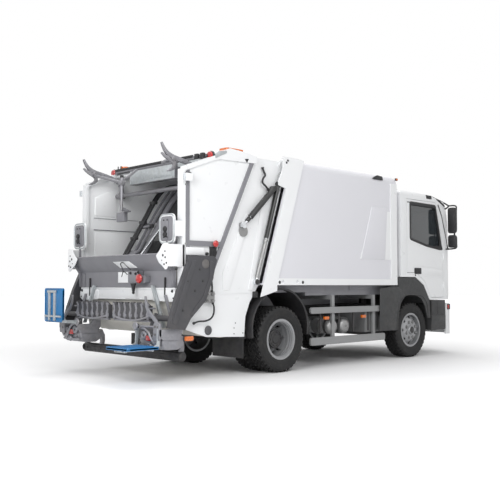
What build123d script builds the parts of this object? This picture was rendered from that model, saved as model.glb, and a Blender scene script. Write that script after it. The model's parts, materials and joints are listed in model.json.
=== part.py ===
from build123d import *
import os

os.makedirs("parts", exist_ok=True)

# A compact two-axle refuse truck with a rear loader.
# The row frame: X forward, Y to the left, Z up, the origin at the middle of the box on the ground.
# Places along X are counted forward from the rear axle, and heights from the ground. Millimetres.

# Whole vehicle
wheelbase = 3020
front_reach = 4290
rear_reach = 2405
rear_axle_x = (rear_reach - front_reach) / 2
front_axle = wheelbase

# Clearances and the overrun of a cut
run_gap = 0.3
pin_gap = 0.1
move_gap = 8
cut_over = 40

# Wheels and tyres
tyre_diameter = 866
tyre_width = 265
tyre_tread_width = 214
tyre_shoulder_drop = 20
tyre_bead_width = 210
rim_seat_diameter = 495
rim_flange_diameter = 534
rim_flange_thick = 8
rim_barrel_thick = 9
rim_disc_thick = 12
wheel_hole_diameter = 52
wheel_hole_count = 8
wheel_hole_circle = 350
front_tyre_outer_y = 1106
rear_tyre_outer_y = 1132
dual_gap = 32
hub_diameter = 220
hub_cap_diameter = 150
hub_cap_proud = 24
front_disc_dish = 100
front_disc_edge = 40
rear_disc_edge = 40
rear_disc_crown_diameter = 400
rear_hub_length = 130
axle_height = tyre_diameter / 2
front_wheel_y = front_tyre_outer_y - tyre_width / 2
rear_outer_wheel_y = rear_tyre_outer_y - tyre_width / 2
rear_inner_wheel_y = rear_outer_wheel_y - tyre_width - dual_gap
rear_pair_y = (rear_outer_wheel_y + rear_inner_wheel_y) / 2

# Axles and springs
spindle_diameter = 110
spindle_length = 90
kingpin_y = 850
kingpin_diameter = 46
kingpin_height = 190
knuckle_eye_diameter = 110
knuckle_eye_height = 120
axle_beam_width = 90
axle_beam_height = 100
axle_beam_drop = 70
rear_tube_diameter = 130
rear_housing_diameter = 340
rear_housing_width = 230
drum_diameter = 330
drum_width = 90
spring_width = 70
spring_leaf_thick = 14
spring_leaf_count = 3
front_spring_half = 620
rear_spring_half = 540
spring_y = 400

# Chassis frame
rail_low = 600
rail_height = 230
rail_flange = 70
rail_web = 8
rail_outer_y = 435
frame_rear = -380
frame_front = 4060
rail_top = rail_low + rail_height
cross_tube_diameter = 60
cross_tube_z = 785
subframe_beam_height = 170
subframe_beam_width = 70
subframe_bearer_width = 60
subframe_sill_width = 60
subframe_sill_y = 1010
engine_length = 900
engine_width = 640
engine_height = 600
engine_low = 520
engine_front = 3640
gearbox_length = 520
gearbox_width = 330
gearbox_height = 300
gearbox_low = 500
shaft_diameter = 90

# Collection body
body_front = 2600
body_half_width = 1135
body_low = 1143
body_top = 2836
body_wall = 25
body_roof_radius = 120
post_proud = 14
body_side_y = body_half_width - post_proud
post_rear_top_x = 214
post_slope_run = 609
post_slope_rise = 1860
post_foot_x = -395
post_foot_z = 992
post_width_top = 225
post_width_foot = 250
post_lean = post_slope_run / post_slope_rise
front_post_width = 160
flange_height = 90
flange_hole_diameter = 46

# Tailgate
hinge_x = 106
hinge_drop = 24
hinge_z = body_top - hinge_drop
hinge_pin_diameter = 50
hinge_ear_diameter = 84
gate_rear = -1650
gate_low = 492
gate_wall_y = 1050
gate_wall = 20
gate_panel_y = 1080
gate_frame_y = 1100
gate_face_gap = 15
gate_roof_proud = 24
gate_roof_top = body_top + gate_roof_proud
strip_width = 62
rear_post_width = 100
rear_post_depth = 80
rear_post_drop = 316
rear_post_top = body_top - rear_post_drop
mouth_sill_z = 1515
lip_x = -1850
sill_face_x = -1700
sill_low = 1110
sill_sheet = 14
sill_half_width = 1020
belly_sheet = 20

# Tailgate lift cylinders
lift_top_x = -21
lift_top_z = 2478
lift_foot_x = -431
lift_foot_z = 1183
lift_barrel_diameter = 60
lift_rod_diameter = 40
lift_eye_diameter = 80
lift_pin_diameter = 34
lift_barrel_share = 0.56
lift_y = 1086
lift_eye_width = 40

# Packer
packer_shaft_x = -643
packer_shaft_z = 1825
packer_shaft_diameter = 90
packer_boss_diameter = 140
packer_top_x = -120
packer_top_z = 2415
packer_y = 1104
packer_barrel_diameter = 76
packer_rod_diameter = 40
packer_lever = 78
packer_plate = 50
packer_lever_angle = 110
packer_half_width = 1018
packer_arm_length = 620
packer_arm_angle = 235
blade_angle = 260
blade_length = 560
blade_thick = 60

# Bin lifters
lifter_pivot_x = -1360
lifter_pivot_z = 1395
lifter_pivot_diameter = 60
arm_inner_y = 1112
arm_thick = 60
comb_x = -1880
comb_low = 730
comb_height = 170
comb_depth = 50
comb_inner_y = 40
comb_outer_y = 800
comb_tooth_count = 6
comb_tooth_width = 70
comb_tooth_height = 40
lifter_tube_diameter = 70
lifter_tube_x = -1840
lifter_tube_z = 760

# Crew steps and rear guard
step_board_length = 440
step_board_width = 450
step_board_thick = 34
step_board_inner_y = 640
step_hinge_z = 665
step_drop = 235
step_arm_thick = 16
step_pin_diameter = 26
underrun_x = -1640
underrun_low = 250
underrun_height = 112
underrun_depth = 70
underrun_half_width = 1040

# Cab
cab_half_width = 1147
cab_back = 2680
cab_front = 4236
cab_low = 905
cab_roof = 2655
cab_wall = 45
cab_corner_radius = 260
door_rear = 2850
door_front = 3890
door_low = 945
door_top = 2510
door_gap = 6
glass_thick = 6
tilt_x = 4195
tilt_z = 862
tilt_pin_diameter = 40
bumper_low = 330
bumper_top = 836
bumper_depth = 330
bumper_wall = 30
step_block_rear = 3530
step_block_front = 3945
step_block_low = 410
step_block_top = 895
step_block_depth = 300


def side(y):
    """The plane of a side view: forward is local x, up is local y, and it extrudes to the right."""
    return Plane(origin=(rear_axle_x, y, 0), x_dir=(1, 0, 0), z_dir=(0, -1, 0))


def cross(x):
    """The plane of a cross-section: left is local x, up is local y, and it extrudes forward."""
    return Plane(origin=(rear_axle_x + x, 0, 0), x_dir=(0, 1, 0), z_dir=(1, 0, 0))


def plan(z):
    """The plane of a plan: forward is local x, left is local y, and it extrudes up."""
    return Plane(origin=(rear_axle_x, 0, z), x_dir=(1, 0, 0), z_dir=(0, 0, 1))


def spread(shares, x_from, x_to, z_from, z_to):
    """Points given as shares of a box, as points in millimetres."""
    return [(x_from + (x_to - x_from) * a, z_from + (z_to - z_from) * b) for a, b in shares]


def y_axis(x, z):
    """The line along Y through a place of the side view."""
    return Axis((rear_axle_x + x, 0, z), (0, 1, 0))


def save(piece, name):
    """Labels a finished piece and writes it."""
    piece.part.label = name
    export_step(piece.part, f"parts/{name}.step")


def box_block(x_from, x_to, y_from, y_to, z_from, z_to):
    """A block from corner to corner."""
    with BuildPart() as block:
        with BuildSketch(plan(z_from)):
            with Locations(((x_from + x_to) / 2, (y_from + y_to) / 2)):
                Rectangle(x_to - x_from, y_to - y_from)
        extrude(amount=z_to - z_from)
    return block


# Wheels: a section in radius and outward place, turned about the axle
def turned(section, x, y, outward):
    """A ring turned about the axle from its section of radius and outward place."""
    with BuildPart() as ring:
        with BuildSketch(Plane(origin=(rear_axle_x + x, y, axle_height), x_dir=(0, 0, 1), z_dir=(-outward, 0, 0))):
            Polygon(*section)
        revolve(axis=Axis((rear_axle_x + x, y, axle_height), (0, 1, 0)))
    return ring.part


tyre_radius = tyre_diameter / 2
seat_radius = rim_seat_diameter / 2
flange_radius = rim_flange_diameter / 2
tyre_belly_share = 0.55
tyre_half = [
    (seat_radius + run_gap, tyre_bead_width / 2 - run_gap),
    (flange_radius + run_gap, tyre_bead_width / 2 - run_gap),
    (flange_radius + run_gap, tyre_bead_width / 2 + rim_flange_thick),
    (flange_radius + (tyre_radius - flange_radius) * tyre_belly_share, tyre_width / 2),
    (tyre_radius - tyre_shoulder_drop, (tyre_width + tyre_tread_width) / 4 + tyre_shoulder_drop / 4),
    (tyre_radius, tyre_tread_width / 2),
]
tyre_section = tyre_half + [(r, -w) for r, w in reversed(tyre_half)]
barrel_radius = seat_radius - rim_barrel_thick
rim_half_width = tyre_bead_width / 2 + rim_flange_thick
rim_half = [
    (seat_radius, tyre_bead_width / 2),
    (flange_radius, tyre_bead_width / 2),
    (flange_radius, rim_half_width),
    (barrel_radius, rim_half_width),
]
rim_section = [(r, -w) for r, w in reversed(rim_half)] + rim_half
hub_radius = hub_diameter / 2
cap_radius = hub_cap_diameter / 2
spindle_radius = spindle_diameter / 2
crown_radius = rear_disc_crown_diameter / 2
front_crown_radius = wheel_hole_circle / 2 - wheel_hole_diameter / 2
front_disc_section = [
    (barrel_radius, front_disc_edge),
    (barrel_radius, front_disc_edge + rim_disc_thick),
    (front_crown_radius, front_disc_dish + rim_disc_thick),
    (cap_radius, front_disc_dish + rim_disc_thick),
    (cap_radius - rim_disc_thick, front_disc_dish + rim_disc_thick + hub_cap_proud),
    (0, front_disc_dish + rim_disc_thick + hub_cap_proud),
    (0, spindle_length),
    (spindle_radius + pin_gap, spindle_length),
    (spindle_radius + pin_gap, 0),
    (hub_radius, 0),
    (hub_radius, front_disc_dish),
    (front_crown_radius, front_disc_dish),
]
pair_half = (rear_outer_wheel_y - rear_inner_wheel_y) / 2
rear_disc_section = [
    (barrel_radius, pair_half - rear_disc_edge),
    (crown_radius, rim_disc_thick),
    (hub_radius, rim_disc_thick),
    (hub_radius, rear_hub_length),
    (cap_radius, rear_hub_length + hub_cap_proud),
    (0, rear_hub_length + hub_cap_proud),
    (0, spindle_length),
    (spindle_radius + pin_gap, spindle_length),
    (spindle_radius + pin_gap, -drum_width),
    (hub_radius, -drum_width),
    (hub_radius, -rim_disc_thick),
    (crown_radius, -rim_disc_thick),
    (barrel_radius, rear_disc_edge - pair_half),
    (barrel_radius, rear_disc_edge - pair_half + rim_disc_thick),
    (crown_radius + rim_disc_thick, 0),
    (barrel_radius, pair_half - rear_disc_edge - rim_disc_thick),
]

for hand, outward in (("left", 1), ("right", -1)):
    front_y = outward * front_wheel_y
    outer_y = outward * rear_outer_wheel_y
    inner_y = outward * rear_inner_wheel_y
    pair_y = outward * rear_pair_y

    with BuildPart() as front_tyre:
        add(turned(tyre_section, front_axle, front_y, outward))
    save(front_tyre, f"front_tyre_{hand}")

    with BuildPart() as front_rim:
        add(turned(rim_section, front_axle, front_y, outward))
        add(turned(front_disc_section, front_axle, front_y, outward))
        with BuildSketch(Plane(origin=(rear_axle_x + front_axle, front_y, axle_height), z_dir=(0, outward, 0))):
            with PolarLocations(wheel_hole_circle / 2 + wheel_hole_diameter / 2, wheel_hole_count):
                Circle(wheel_hole_diameter / 2)
        extrude(amount=tyre_width / 2, mode=Mode.SUBTRACT)
    save(front_rim, f"front_rim_{hand}")

    with BuildPart() as rear_tyres:
        add(turned(tyre_section, 0, outer_y, outward))
        add(turned(tyre_section, 0, inner_y, outward))
    save(rear_tyres, f"rear_tyres_{hand}")

    with BuildPart() as rear_rims:
        add(turned(rim_section, 0, outer_y, outward))
        add(turned(rim_section, 0, inner_y, outward))
        add(turned(rear_disc_section, 0, pair_y, outward))
        with BuildSketch(Plane(origin=(rear_axle_x, pair_y, axle_height), z_dir=(0, outward, 0))):
            with PolarLocations((crown_radius + barrel_radius) / 2, wheel_hole_count):
                Circle(wheel_hole_diameter / 2 - rim_barrel_thick)
        extrude(amount=pair_half, both=True, mode=Mode.SUBTRACT)
    save(rear_rims, f"rear_rims_{hand}")

    # The steering knuckle: two eyes about the kingpin, the spindle and the brake drum
    with BuildPart() as knuckle:
        with BuildSketch(plan(axle_height - kingpin_height / 2)):
            with Locations((front_axle, outward * kingpin_y)):
                Circle(knuckle_eye_diameter / 2)
        extrude(amount=kingpin_height)
        with BuildSketch(plan(axle_height - knuckle_eye_height / 2)):
            with Locations((front_axle, outward * kingpin_y)):
                Circle(knuckle_eye_diameter / 2 + run_gap)
        extrude(amount=knuckle_eye_height, mode=Mode.SUBTRACT)
        with BuildSketch(plan(axle_height - kingpin_height / 2)):
            with Locations((front_axle, outward * kingpin_y)):
                Circle(kingpin_diameter / 2 + pin_gap)
        extrude(amount=kingpin_height, mode=Mode.SUBTRACT)
        drum_inner_y = outward * (kingpin_y + knuckle_eye_diameter / 2)
        with BuildSketch(Plane(origin=(rear_axle_x + front_axle, drum_inner_y, axle_height), z_dir=(0, outward, 0))):
            Circle(drum_diameter / 2)
        extrude(amount=drum_width / 2)
        with BuildSketch(Plane(origin=(rear_axle_x + front_axle, drum_inner_y, axle_height), z_dir=(0, outward, 0))):
            Circle(spindle_radius)
        extrude(amount=front_wheel_y + spindle_length - move_gap - abs(drum_inner_y))
        lug_half = knuckle_eye_diameter / 2
        for low in (axle_height - kingpin_height / 2, axle_height + knuckle_eye_height / 2):
            with BuildSketch(plan(low)):
                with Locations((front_axle, outward * (kingpin_y + lug_half / 2 + lug_half / 4))):
                    Rectangle(knuckle_eye_diameter, lug_half / 2)
            extrude(amount=(kingpin_height - knuckle_eye_height) / 2)
    save(knuckle, f"steering_knuckle_{hand}")

# Front axle: a dropped beam with an eye and a kingpin at each end
beam_half_height = axle_beam_height / 2
with BuildPart() as front_beam:
    beam_end = kingpin_y - knuckle_eye_diameter / 4
    beam_bend = spring_y + spring_width
    beam_low = axle_height - axle_beam_drop - beam_half_height
    with BuildSketch(cross(front_axle - axle_beam_width / 2)):
        Polygon(
            (-beam_end, axle_height - beam_half_height),
            (-beam_bend, beam_low),
            (beam_bend, beam_low),
            (beam_end, axle_height - beam_half_height),
            (beam_end, axle_height + beam_half_height),
            (beam_bend, beam_low + axle_beam_height),
            (-beam_bend, beam_low + axle_beam_height),
            (-beam_end, axle_height + beam_half_height),
        )
    extrude(amount=axle_beam_width)
    eye_half = knuckle_eye_height / 2 - move_gap / 2
    for outward in (-1, 1):
        with BuildSketch(plan(axle_height - eye_half)):
            with Locations((front_axle, outward * kingpin_y)):
                Circle(knuckle_eye_diameter / 2)
        extrude(amount=2 * eye_half)
        with BuildSketch(plan(axle_height - kingpin_height / 2)):
            with Locations((front_axle, outward * kingpin_y)):
                Circle(kingpin_diameter / 2)
        extrude(amount=kingpin_height)
save(front_beam, "front_axle")

# Rear axle: a housing, two tubes and spindles
with BuildPart() as rear_beam:
    tube_end = rear_pair_y - drum_width - move_gap
    with BuildSketch(side(tube_end)):
        with Locations((0, axle_height)):
            Circle(rear_tube_diameter / 2)
    extrude(amount=2 * tube_end)
    with BuildSketch(side(rear_pair_y + spindle_length - move_gap)):
        with Locations((0, axle_height)):
            Circle(spindle_radius)
    extrude(amount=2 * (rear_pair_y + spindle_length - move_gap))
    with BuildSketch(side(rear_housing_width / 2)):
        with Locations((0, axle_height)):
            Circle(rear_housing_diameter / 2)
    extrude(amount=rear_housing_width)
    fillet(rear_beam.edges().filter_by(GeomType.CIRCLE).group_by(SortBy.RADIUS)[-1], rear_housing_width / 4)
save(rear_beam, "rear_axle")

# Leaf springs: stacked leaves under the rails, each a shallow trapezium, clamped on the beams
spring_places = [
    (front_axle, axle_height - axle_beam_drop + beam_half_height, front_spring_half),
    (0, axle_height + rear_tube_diameter / 2, rear_spring_half),
]
with BuildPart() as springs:
    for axle, seat, half_length in spring_places:
        pack = spring_leaf_count * spring_leaf_thick
        for outward in (-1, 1):
            for leaf in range(spring_leaf_count):
                reach_share = (spring_leaf_count - leaf) / spring_leaf_count
                reach = half_length * reach_share
                rise = (rail_low - 2 * run_gap - pack - seat) * reach_share
                low = seat + run_gap + (spring_leaf_count - 1 - leaf) * spring_leaf_thick
                clamp = axle_beam_width
                with BuildSketch(side(outward * spring_y + spring_width / 2)):
                    Polygon(
                        (axle - clamp, low),
                        (axle + clamp, low),
                        (axle + reach, low + rise),
                        (axle + reach, low + rise + spring_leaf_thick),
                        (axle + clamp, low + spring_leaf_thick),
                        (axle - clamp, low + spring_leaf_thick),
                        (axle - reach, low + rise + spring_leaf_thick),
                        (axle - reach, low + rise),
                    )
                extrude(amount=spring_width)
save(springs, "leaf_springs")

# Frame rails with their cross tubes, the front beam and the brackets of the tilting cab
cross_tube_shares = (0.02, 0.24, 0.45, 0.56, 0.98)
beam_front = front_reach - bumper_wall - run_gap
beam_top = rail_low + rail_height / 2
tilt_tube_diameter = 90
tilt_ear_y = 380
tilt_ear_width = 60
tow_bore_diameter = 45
tow_bore_depth = 120
tow_bore_y = -300
tow_bore_z = 655
with BuildPart() as frame_rails:
    with BuildSketch(cross(frame_rear)):
        for outward in (-1, 1):
            with Locations((outward * (rail_outer_y - rail_flange / 2), rail_low + rail_height / 2)):
                Rectangle(rail_flange, rail_height)
            with Locations((outward * (rail_outer_y - rail_flange / 2 - rail_web), rail_low + rail_height / 2)):
                Rectangle(rail_flange, rail_height - 2 * rail_web, mode=Mode.SUBTRACT)
    extrude(amount=frame_front - frame_rear)
    for share in cross_tube_shares:
        with BuildSketch(side(rail_outer_y - rail_web / 2)):
            with Locations((frame_rear + (frame_front - frame_rear) * share, cross_tube_z)):
                Circle(cross_tube_diameter / 2)
        extrude(amount=2 * rail_outer_y - rail_web)
    add(box_block(frame_front, beam_front, -rail_outer_y, rail_outer_y, rail_low, beam_top).part)
    for outward in (-1, 1):
        with BuildSketch(side(outward * (tilt_ear_y - tilt_ear_width / 4) + tilt_ear_width / 4)):
            Polygon(
                (frame_front + tilt_tube_diameter / 2, rail_low + rail_height / 2),
                (beam_front - tilt_tube_diameter / 4, rail_low + rail_height / 2),
                (tilt_x + tilt_tube_diameter / 3, tilt_z),
                (tilt_x - tilt_tube_diameter / 3, tilt_z),
            )
            with Locations((tilt_x, tilt_z)):
                Circle(tilt_tube_diameter / 3)
                Circle(tilt_pin_diameter / 2 + pin_gap, mode=Mode.SUBTRACT)
        extrude(amount=tilt_ear_width / 2)
    with BuildSketch(cross(beam_front - tow_bore_depth)):
        with Locations((tow_bore_y, tow_bore_z)):
            Circle(tow_bore_diameter / 2)
    extrude(amount=tow_bore_depth, mode=Mode.SUBTRACT)
save(frame_rails, "frame_rails")

# Body subframe: two long beams on the rails, cross bearers and an outer sill on each side
subframe_top = body_low
subframe_mid = rail_top + subframe_beam_height
bearer_shares = ((0.02, 0.45), (0.3, 0.45), (0.42, 1), (0.62, 1), (0.82, 1), (0.98, 1))
subframe_rear = -250
subframe_front = body_front - front_post_width / 2
sill_rear = 590
with BuildPart() as subframe:
    with BuildSketch(cross(subframe_rear)):
        for outward in (-1, 1):
            with Locations((outward * (rail_outer_y - subframe_beam_width / 2), rail_top + subframe_beam_height / 2)):
                Rectangle(subframe_beam_width, subframe_beam_height)
    extrude(amount=subframe_front - subframe_rear)
    for place_share, width_share in bearer_shares:
        bearer_x = subframe_rear + (subframe_front - subframe_rear - subframe_bearer_width) * place_share
        half = subframe_sill_y * width_share
        with BuildSketch(cross(bearer_x)):
            with Locations((0, (subframe_mid + subframe_top) / 2)):
                Rectangle(2 * half, subframe_top - subframe_mid)
        extrude(amount=subframe_bearer_width)
    with BuildSketch(cross(sill_rear)):
        for outward in (-1, 1):
            with Locations((outward * (subframe_sill_y - subframe_sill_width / 2), (subframe_mid + subframe_top) / 2)):
                Rectangle(subframe_sill_width, subframe_top - subframe_mid)
    extrude(amount=subframe_front - sill_rear)
save(subframe, "body_subframe")

# Engine block, gearbox and propeller shaft
engine = box_block(
    engine_front - engine_length, engine_front, -engine_width / 2, engine_width / 2, engine_low, engine_low + engine_height
)
save(engine, "engine_block")

with BuildPart() as driveline:
    gearbox_rear = engine_front - engine_length - gearbox_length
    add(box_block(
        gearbox_rear, engine_front - engine_length - run_gap, -gearbox_width / 2, gearbox_width / 2,
        gearbox_low, gearbox_low + gearbox_height,
    ).part)
    axle_middle = Vector(rear_axle_x, 0, axle_height)
    shaft_to = Vector(rear_axle_x + gearbox_rear, 0, gearbox_low + gearbox_height / 2)
    shaft_from = axle_middle + (shaft_to - axle_middle).normalized() * (rear_housing_diameter / 2 + run_gap)
    with BuildSketch(Plane(origin=shaft_to, z_dir=shaft_from - shaft_to)):
        Circle(shaft_diameter / 2)
    extrude(amount=(shaft_to - shaft_from).length)
save(driveline, "gearbox_shaft")

# Collection body: a hollow shell with a slanted open rear end, posts and a foot flange
post_front_top_x = post_rear_top_x + post_width_top


def post_line(z, forward):
    """Place along X of the slanted rear line at a height, moved forward."""
    return post_foot_x + (z - post_foot_z) * post_lean + forward


shell_rear = post_foot_x
with BuildPart() as body_shell:
    shell_mid_z = (body_low + body_top) / 2
    with BuildSketch(cross(shell_rear)) as shell_outer:
        with Locations((0, shell_mid_z)):
            Rectangle(2 * body_side_y, body_top - body_low)
        fillet(shell_outer.vertices().group_by(Axis.Y)[-1], body_roof_radius)
    extrude(amount=body_front - shell_rear)
    with BuildSketch(cross(shell_rear)) as shell_inner:
        with Locations((0, shell_mid_z)):
            Rectangle(2 * (body_side_y - body_wall), body_top - body_low - 2 * body_wall)
        fillet(shell_inner.vertices().group_by(Axis.Y)[-1], body_roof_radius - body_wall)
    extrude(amount=body_front - body_wall - shell_rear, mode=Mode.SUBTRACT)
    # The rear end is cut along the slanted line
    with BuildSketch(side(body_half_width + cut_over)):
        Polygon(
            (shell_rear - cut_over, body_low - cut_over),
            (post_line(body_low - cut_over, 0), body_low - cut_over),
            (post_line(body_top + cut_over, 0), body_top + cut_over),
            (shell_rear - cut_over, body_top + cut_over),
        )
    extrude(amount=2 * (body_half_width + cut_over), mode=Mode.SUBTRACT)
save(body_shell, "body_shell")

# Frames on the body's sides: slanted rear posts with the hinge plates and the lift cylinders' pins,
# front posts, foot flanges with their holes and a raised field at the front
frame_top = 2852
hinge_plate_rear = hinge_x - hinge_ear_diameter
hinge_plate_low = 2700
bracket_reach = lift_eye_diameter / 2
flange_hole_shares = (0.045, 0.155)
field_proud = 6
field_rear = 1683
field_slope = 301
field_low = 1530
field_top = 2272
with BuildPart() as body_frames:
    flange_rear = post_line(body_low, post_width_foot)
    flange_front = body_front - front_post_width
    with BuildSketch(side(body_half_width)):
        Polygon(
            (post_line(post_foot_z, 0), post_foot_z),
            (post_line(body_low, post_width_foot), post_foot_z + (body_low - post_foot_z) / 2),
            (post_line(body_low, post_width_foot), body_low),
            (post_line(frame_top, post_width_top), frame_top - post_proud),
            (post_line(frame_top, 0), frame_top),
        )
        Polygon(
            (hinge_plate_rear, hinge_plate_low),
            (post_line(hinge_plate_low, post_width_top / 2), hinge_plate_low),
            (post_line(frame_top, post_width_top / 2), frame_top),
            (hinge_plate_rear, frame_top),
        )
        Polygon(
            (lift_top_x - bracket_reach, lift_top_z - bracket_reach / 2),
            (post_line(lift_top_z, post_width_top / 2), lift_top_z - 2 * bracket_reach),
            (post_line(hinge_plate_low, post_width_top / 2), hinge_plate_low),
            (hinge_plate_rear, hinge_plate_low),
            (lift_top_x - bracket_reach, lift_top_z + bracket_reach),
        )
        with Locations((hinge_x, hinge_z)):
            Circle(hinge_pin_diameter / 2 + pin_gap, mode=Mode.SUBTRACT)
        with Locations((body_front - front_post_width / 2, (body_low + body_top - body_roof_radius) / 2)):
            Rectangle(front_post_width, body_top - body_roof_radius - body_low)
        with Locations(((flange_rear + flange_front) / 2, body_low + flange_height / 2)):
            Rectangle(flange_front - flange_rear, flange_height)
        with Locations(*[
            (flange_rear + (flange_front - flange_rear) * share, body_low + flange_height / 2)
            for share in flange_hole_shares
        ]):
            Circle(flange_hole_diameter / 2, mode=Mode.SUBTRACT)
    extrude(amount=post_proud)
    with BuildSketch(side(body_side_y + field_proud)):
        Polygon(
            (field_rear, field_low),
            (flange_front, field_low),
            (flange_front, field_top),
            (field_rear + field_slope, field_top),
        )
    extrude(amount=field_proud)
    with BuildSketch(side(body_half_width)):
        with Locations((lift_top_x, lift_top_z)):
            Circle(lift_pin_diameter / 2)
    extrude(amount=body_half_width - lift_y + lift_eye_width / 2 + move_gap / 2)
    mirror(about=Plane.XZ)
save(body_frames, "body_frames")

# Ejector plate that pushes the load out of the body
ejector_x = body_front - 330
ejector_thick = 60
ejector_gap = 20
ejector_shoe = 90
ejector_shoe_y = 700
with BuildPart() as ejector:
    with BuildSketch(cross(ejector_x)) as ejector_face:
        with Locations((0, shell_mid_z)):
            Rectangle(
                2 * (body_side_y - body_wall - ejector_gap),
                body_top - body_low - 2 * (body_wall + ejector_gap),
            )
        fillet(ejector_face.vertices().group_by(Axis.Y)[-1], body_roof_radius - body_wall)
    extrude(amount=ejector_thick)
    for outward in (-1, 1):
        with BuildSketch(cross(ejector_x + ejector_thick)):
            with Locations((outward * body_side_y / 2, body_low + body_wall + ejector_gap + rail_flange)):
                Rectangle(rail_flange, 2 * rail_flange)
        extrude(amount=body_front - body_wall - ejector_gap - ejector_x - ejector_thick)
    for outward in (-1, 1):
        add(box_block(
            ejector_x - ejector_shoe, ejector_x + 2 * ejector_thick,
            outward * ejector_shoe_y - ejector_shoe / 2, outward * ejector_shoe_y + ejector_shoe / 2,
            body_low + body_wall + run_gap, body_low + body_wall + ejector_shoe,
        ).part)
save(ejector, "ejector_plate")

# Rear mudguards: an arch over each pair of rear tyres, a flap behind it and brackets to the frame
mudguard_radius = 545
mudguard_sheet = 14
mudguard_centre_z = 560
mudguard_inner_y = 545
mudguard_outer_y = 1119
mudguard_foot_z = 470
mudguard_inner_radius = mudguard_radius - mudguard_sheet
flap_x = -700
flap_thick = 12
flap_low = 230
flap_top = 480
flap_arm_thick = 24
flap_arm_shares = (0.15, 0.8)
guard_bar_z = 650
guard_bar_diameter = 36
guard_plate_x = -372
guard_plate_thick = 12
guard_plate_shares = [(0, 0), (0, 0.4), (0.6, 1), (1, 1), (1, 0.9)]
guard_plate_reach = 605
guard_plate_low = 690
guard_plate_top = 950
with BuildPart() as mudguards:
    with BuildSketch(side(mudguard_outer_y)):
        with BuildLine():
            CenterArc((0, mudguard_centre_z), mudguard_radius, 0, 180)
            Line((-mudguard_radius, mudguard_centre_z), (-mudguard_radius, mudguard_foot_z))
            Line((-mudguard_radius, mudguard_foot_z), (-mudguard_inner_radius, mudguard_foot_z))
            Line((-mudguard_inner_radius, mudguard_foot_z), (-mudguard_inner_radius, mudguard_centre_z))
            CenterArc((0, mudguard_centre_z), mudguard_inner_radius, 0, 180)
            Line((mudguard_inner_radius, mudguard_centre_z), (mudguard_inner_radius, mudguard_foot_z))
            Line((mudguard_inner_radius, mudguard_foot_z), (mudguard_radius, mudguard_foot_z))
            Line((mudguard_radius, mudguard_foot_z), (mudguard_radius, mudguard_centre_z))
        make_face()
    extrude(amount=mudguard_outer_y - mudguard_inner_y)
    # The flap hangs on two arms
    with BuildSketch(cross(flap_x)):
        with Locations(((mudguard_outer_y + mudguard_inner_y) / 2, (flap_low + flap_top) / 2)):
            Rectangle(mudguard_outer_y - mudguard_inner_y, flap_top - flap_low)
    extrude(amount=flap_thick)
    for share in flap_arm_shares:
        arm_y = mudguard_inner_y + (mudguard_outer_y - mudguard_inner_y) * share
        with BuildSketch(side(arm_y + flap_arm_thick / 2)):
            Polygon(
                (flap_x + flap_thick / 2, flap_top - 2 * flap_arm_thick),
                (-mudguard_inner_radius - mudguard_sheet / 2, mudguard_foot_z),
                (-mudguard_inner_radius - mudguard_sheet / 2, mudguard_foot_z + 2 * flap_arm_thick),
                (flap_x + flap_thick / 2, flap_top - flap_arm_thick / 2),
            )
        extrude(amount=flap_arm_thick)
    with BuildSketch(side(mudguard_outer_y)):
        with Locations((mudguard_inner_radius, guard_bar_z)):
            Circle(guard_bar_diameter / 2)
    extrude(amount=mudguard_outer_y - rail_outer_y - run_gap)
    with BuildSketch(cross(guard_plate_x)):
        Polygon(*spread(
            guard_plate_shares, rail_outer_y + run_gap, guard_plate_reach, guard_plate_low, guard_plate_top,
        ))
    extrude(amount=guard_plate_thick)
    mirror(about=Plane.XZ)
save(mudguards, "rear_mudguards")

# Side guards: two rails on each side, on two posts that hang from the subframe
guard_y = 1120
guard_thick = 30
guard_rear = 583
guard_front = 2285
guard_upper_low = 750
guard_upper_top = 836
guard_lower_low = 314
guard_lower_top = 420
guard_post_width = 60
guard_post_shares = (0.3, 0.86)
guard_arm_top = subframe_mid - run_gap
with BuildPart() as side_guards:
    with BuildSketch(side(guard_y)):
        for low, top in ((guard_upper_low, guard_upper_top), (guard_lower_low, guard_lower_top)):
            with Locations(((guard_rear + guard_front) / 2, (low + top) / 2)):
                RectangleRounded(guard_front - guard_rear, top - low, guard_thick)
    extrude(amount=guard_thick)
    post_y = guard_y - guard_thick
    for share in guard_post_shares:
        post_x = guard_rear + (guard_front - guard_rear) * share
        with BuildSketch(side(post_y)):
            with Locations((post_x, (guard_lower_low + guard_arm_top) / 2)):
                Rectangle(guard_post_width, guard_arm_top - guard_lower_low)
        extrude(amount=guard_thick)
        with BuildSketch(side(post_y - guard_thick)):
            with Locations((post_x, guard_arm_top - guard_post_width / 2)):
                Rectangle(guard_post_width, guard_post_width)
        extrude(amount=post_y - guard_thick - rail_outer_y - run_gap)
    mirror(about=Plane.XZ)
save(side_guards, "side_guards")

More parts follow.
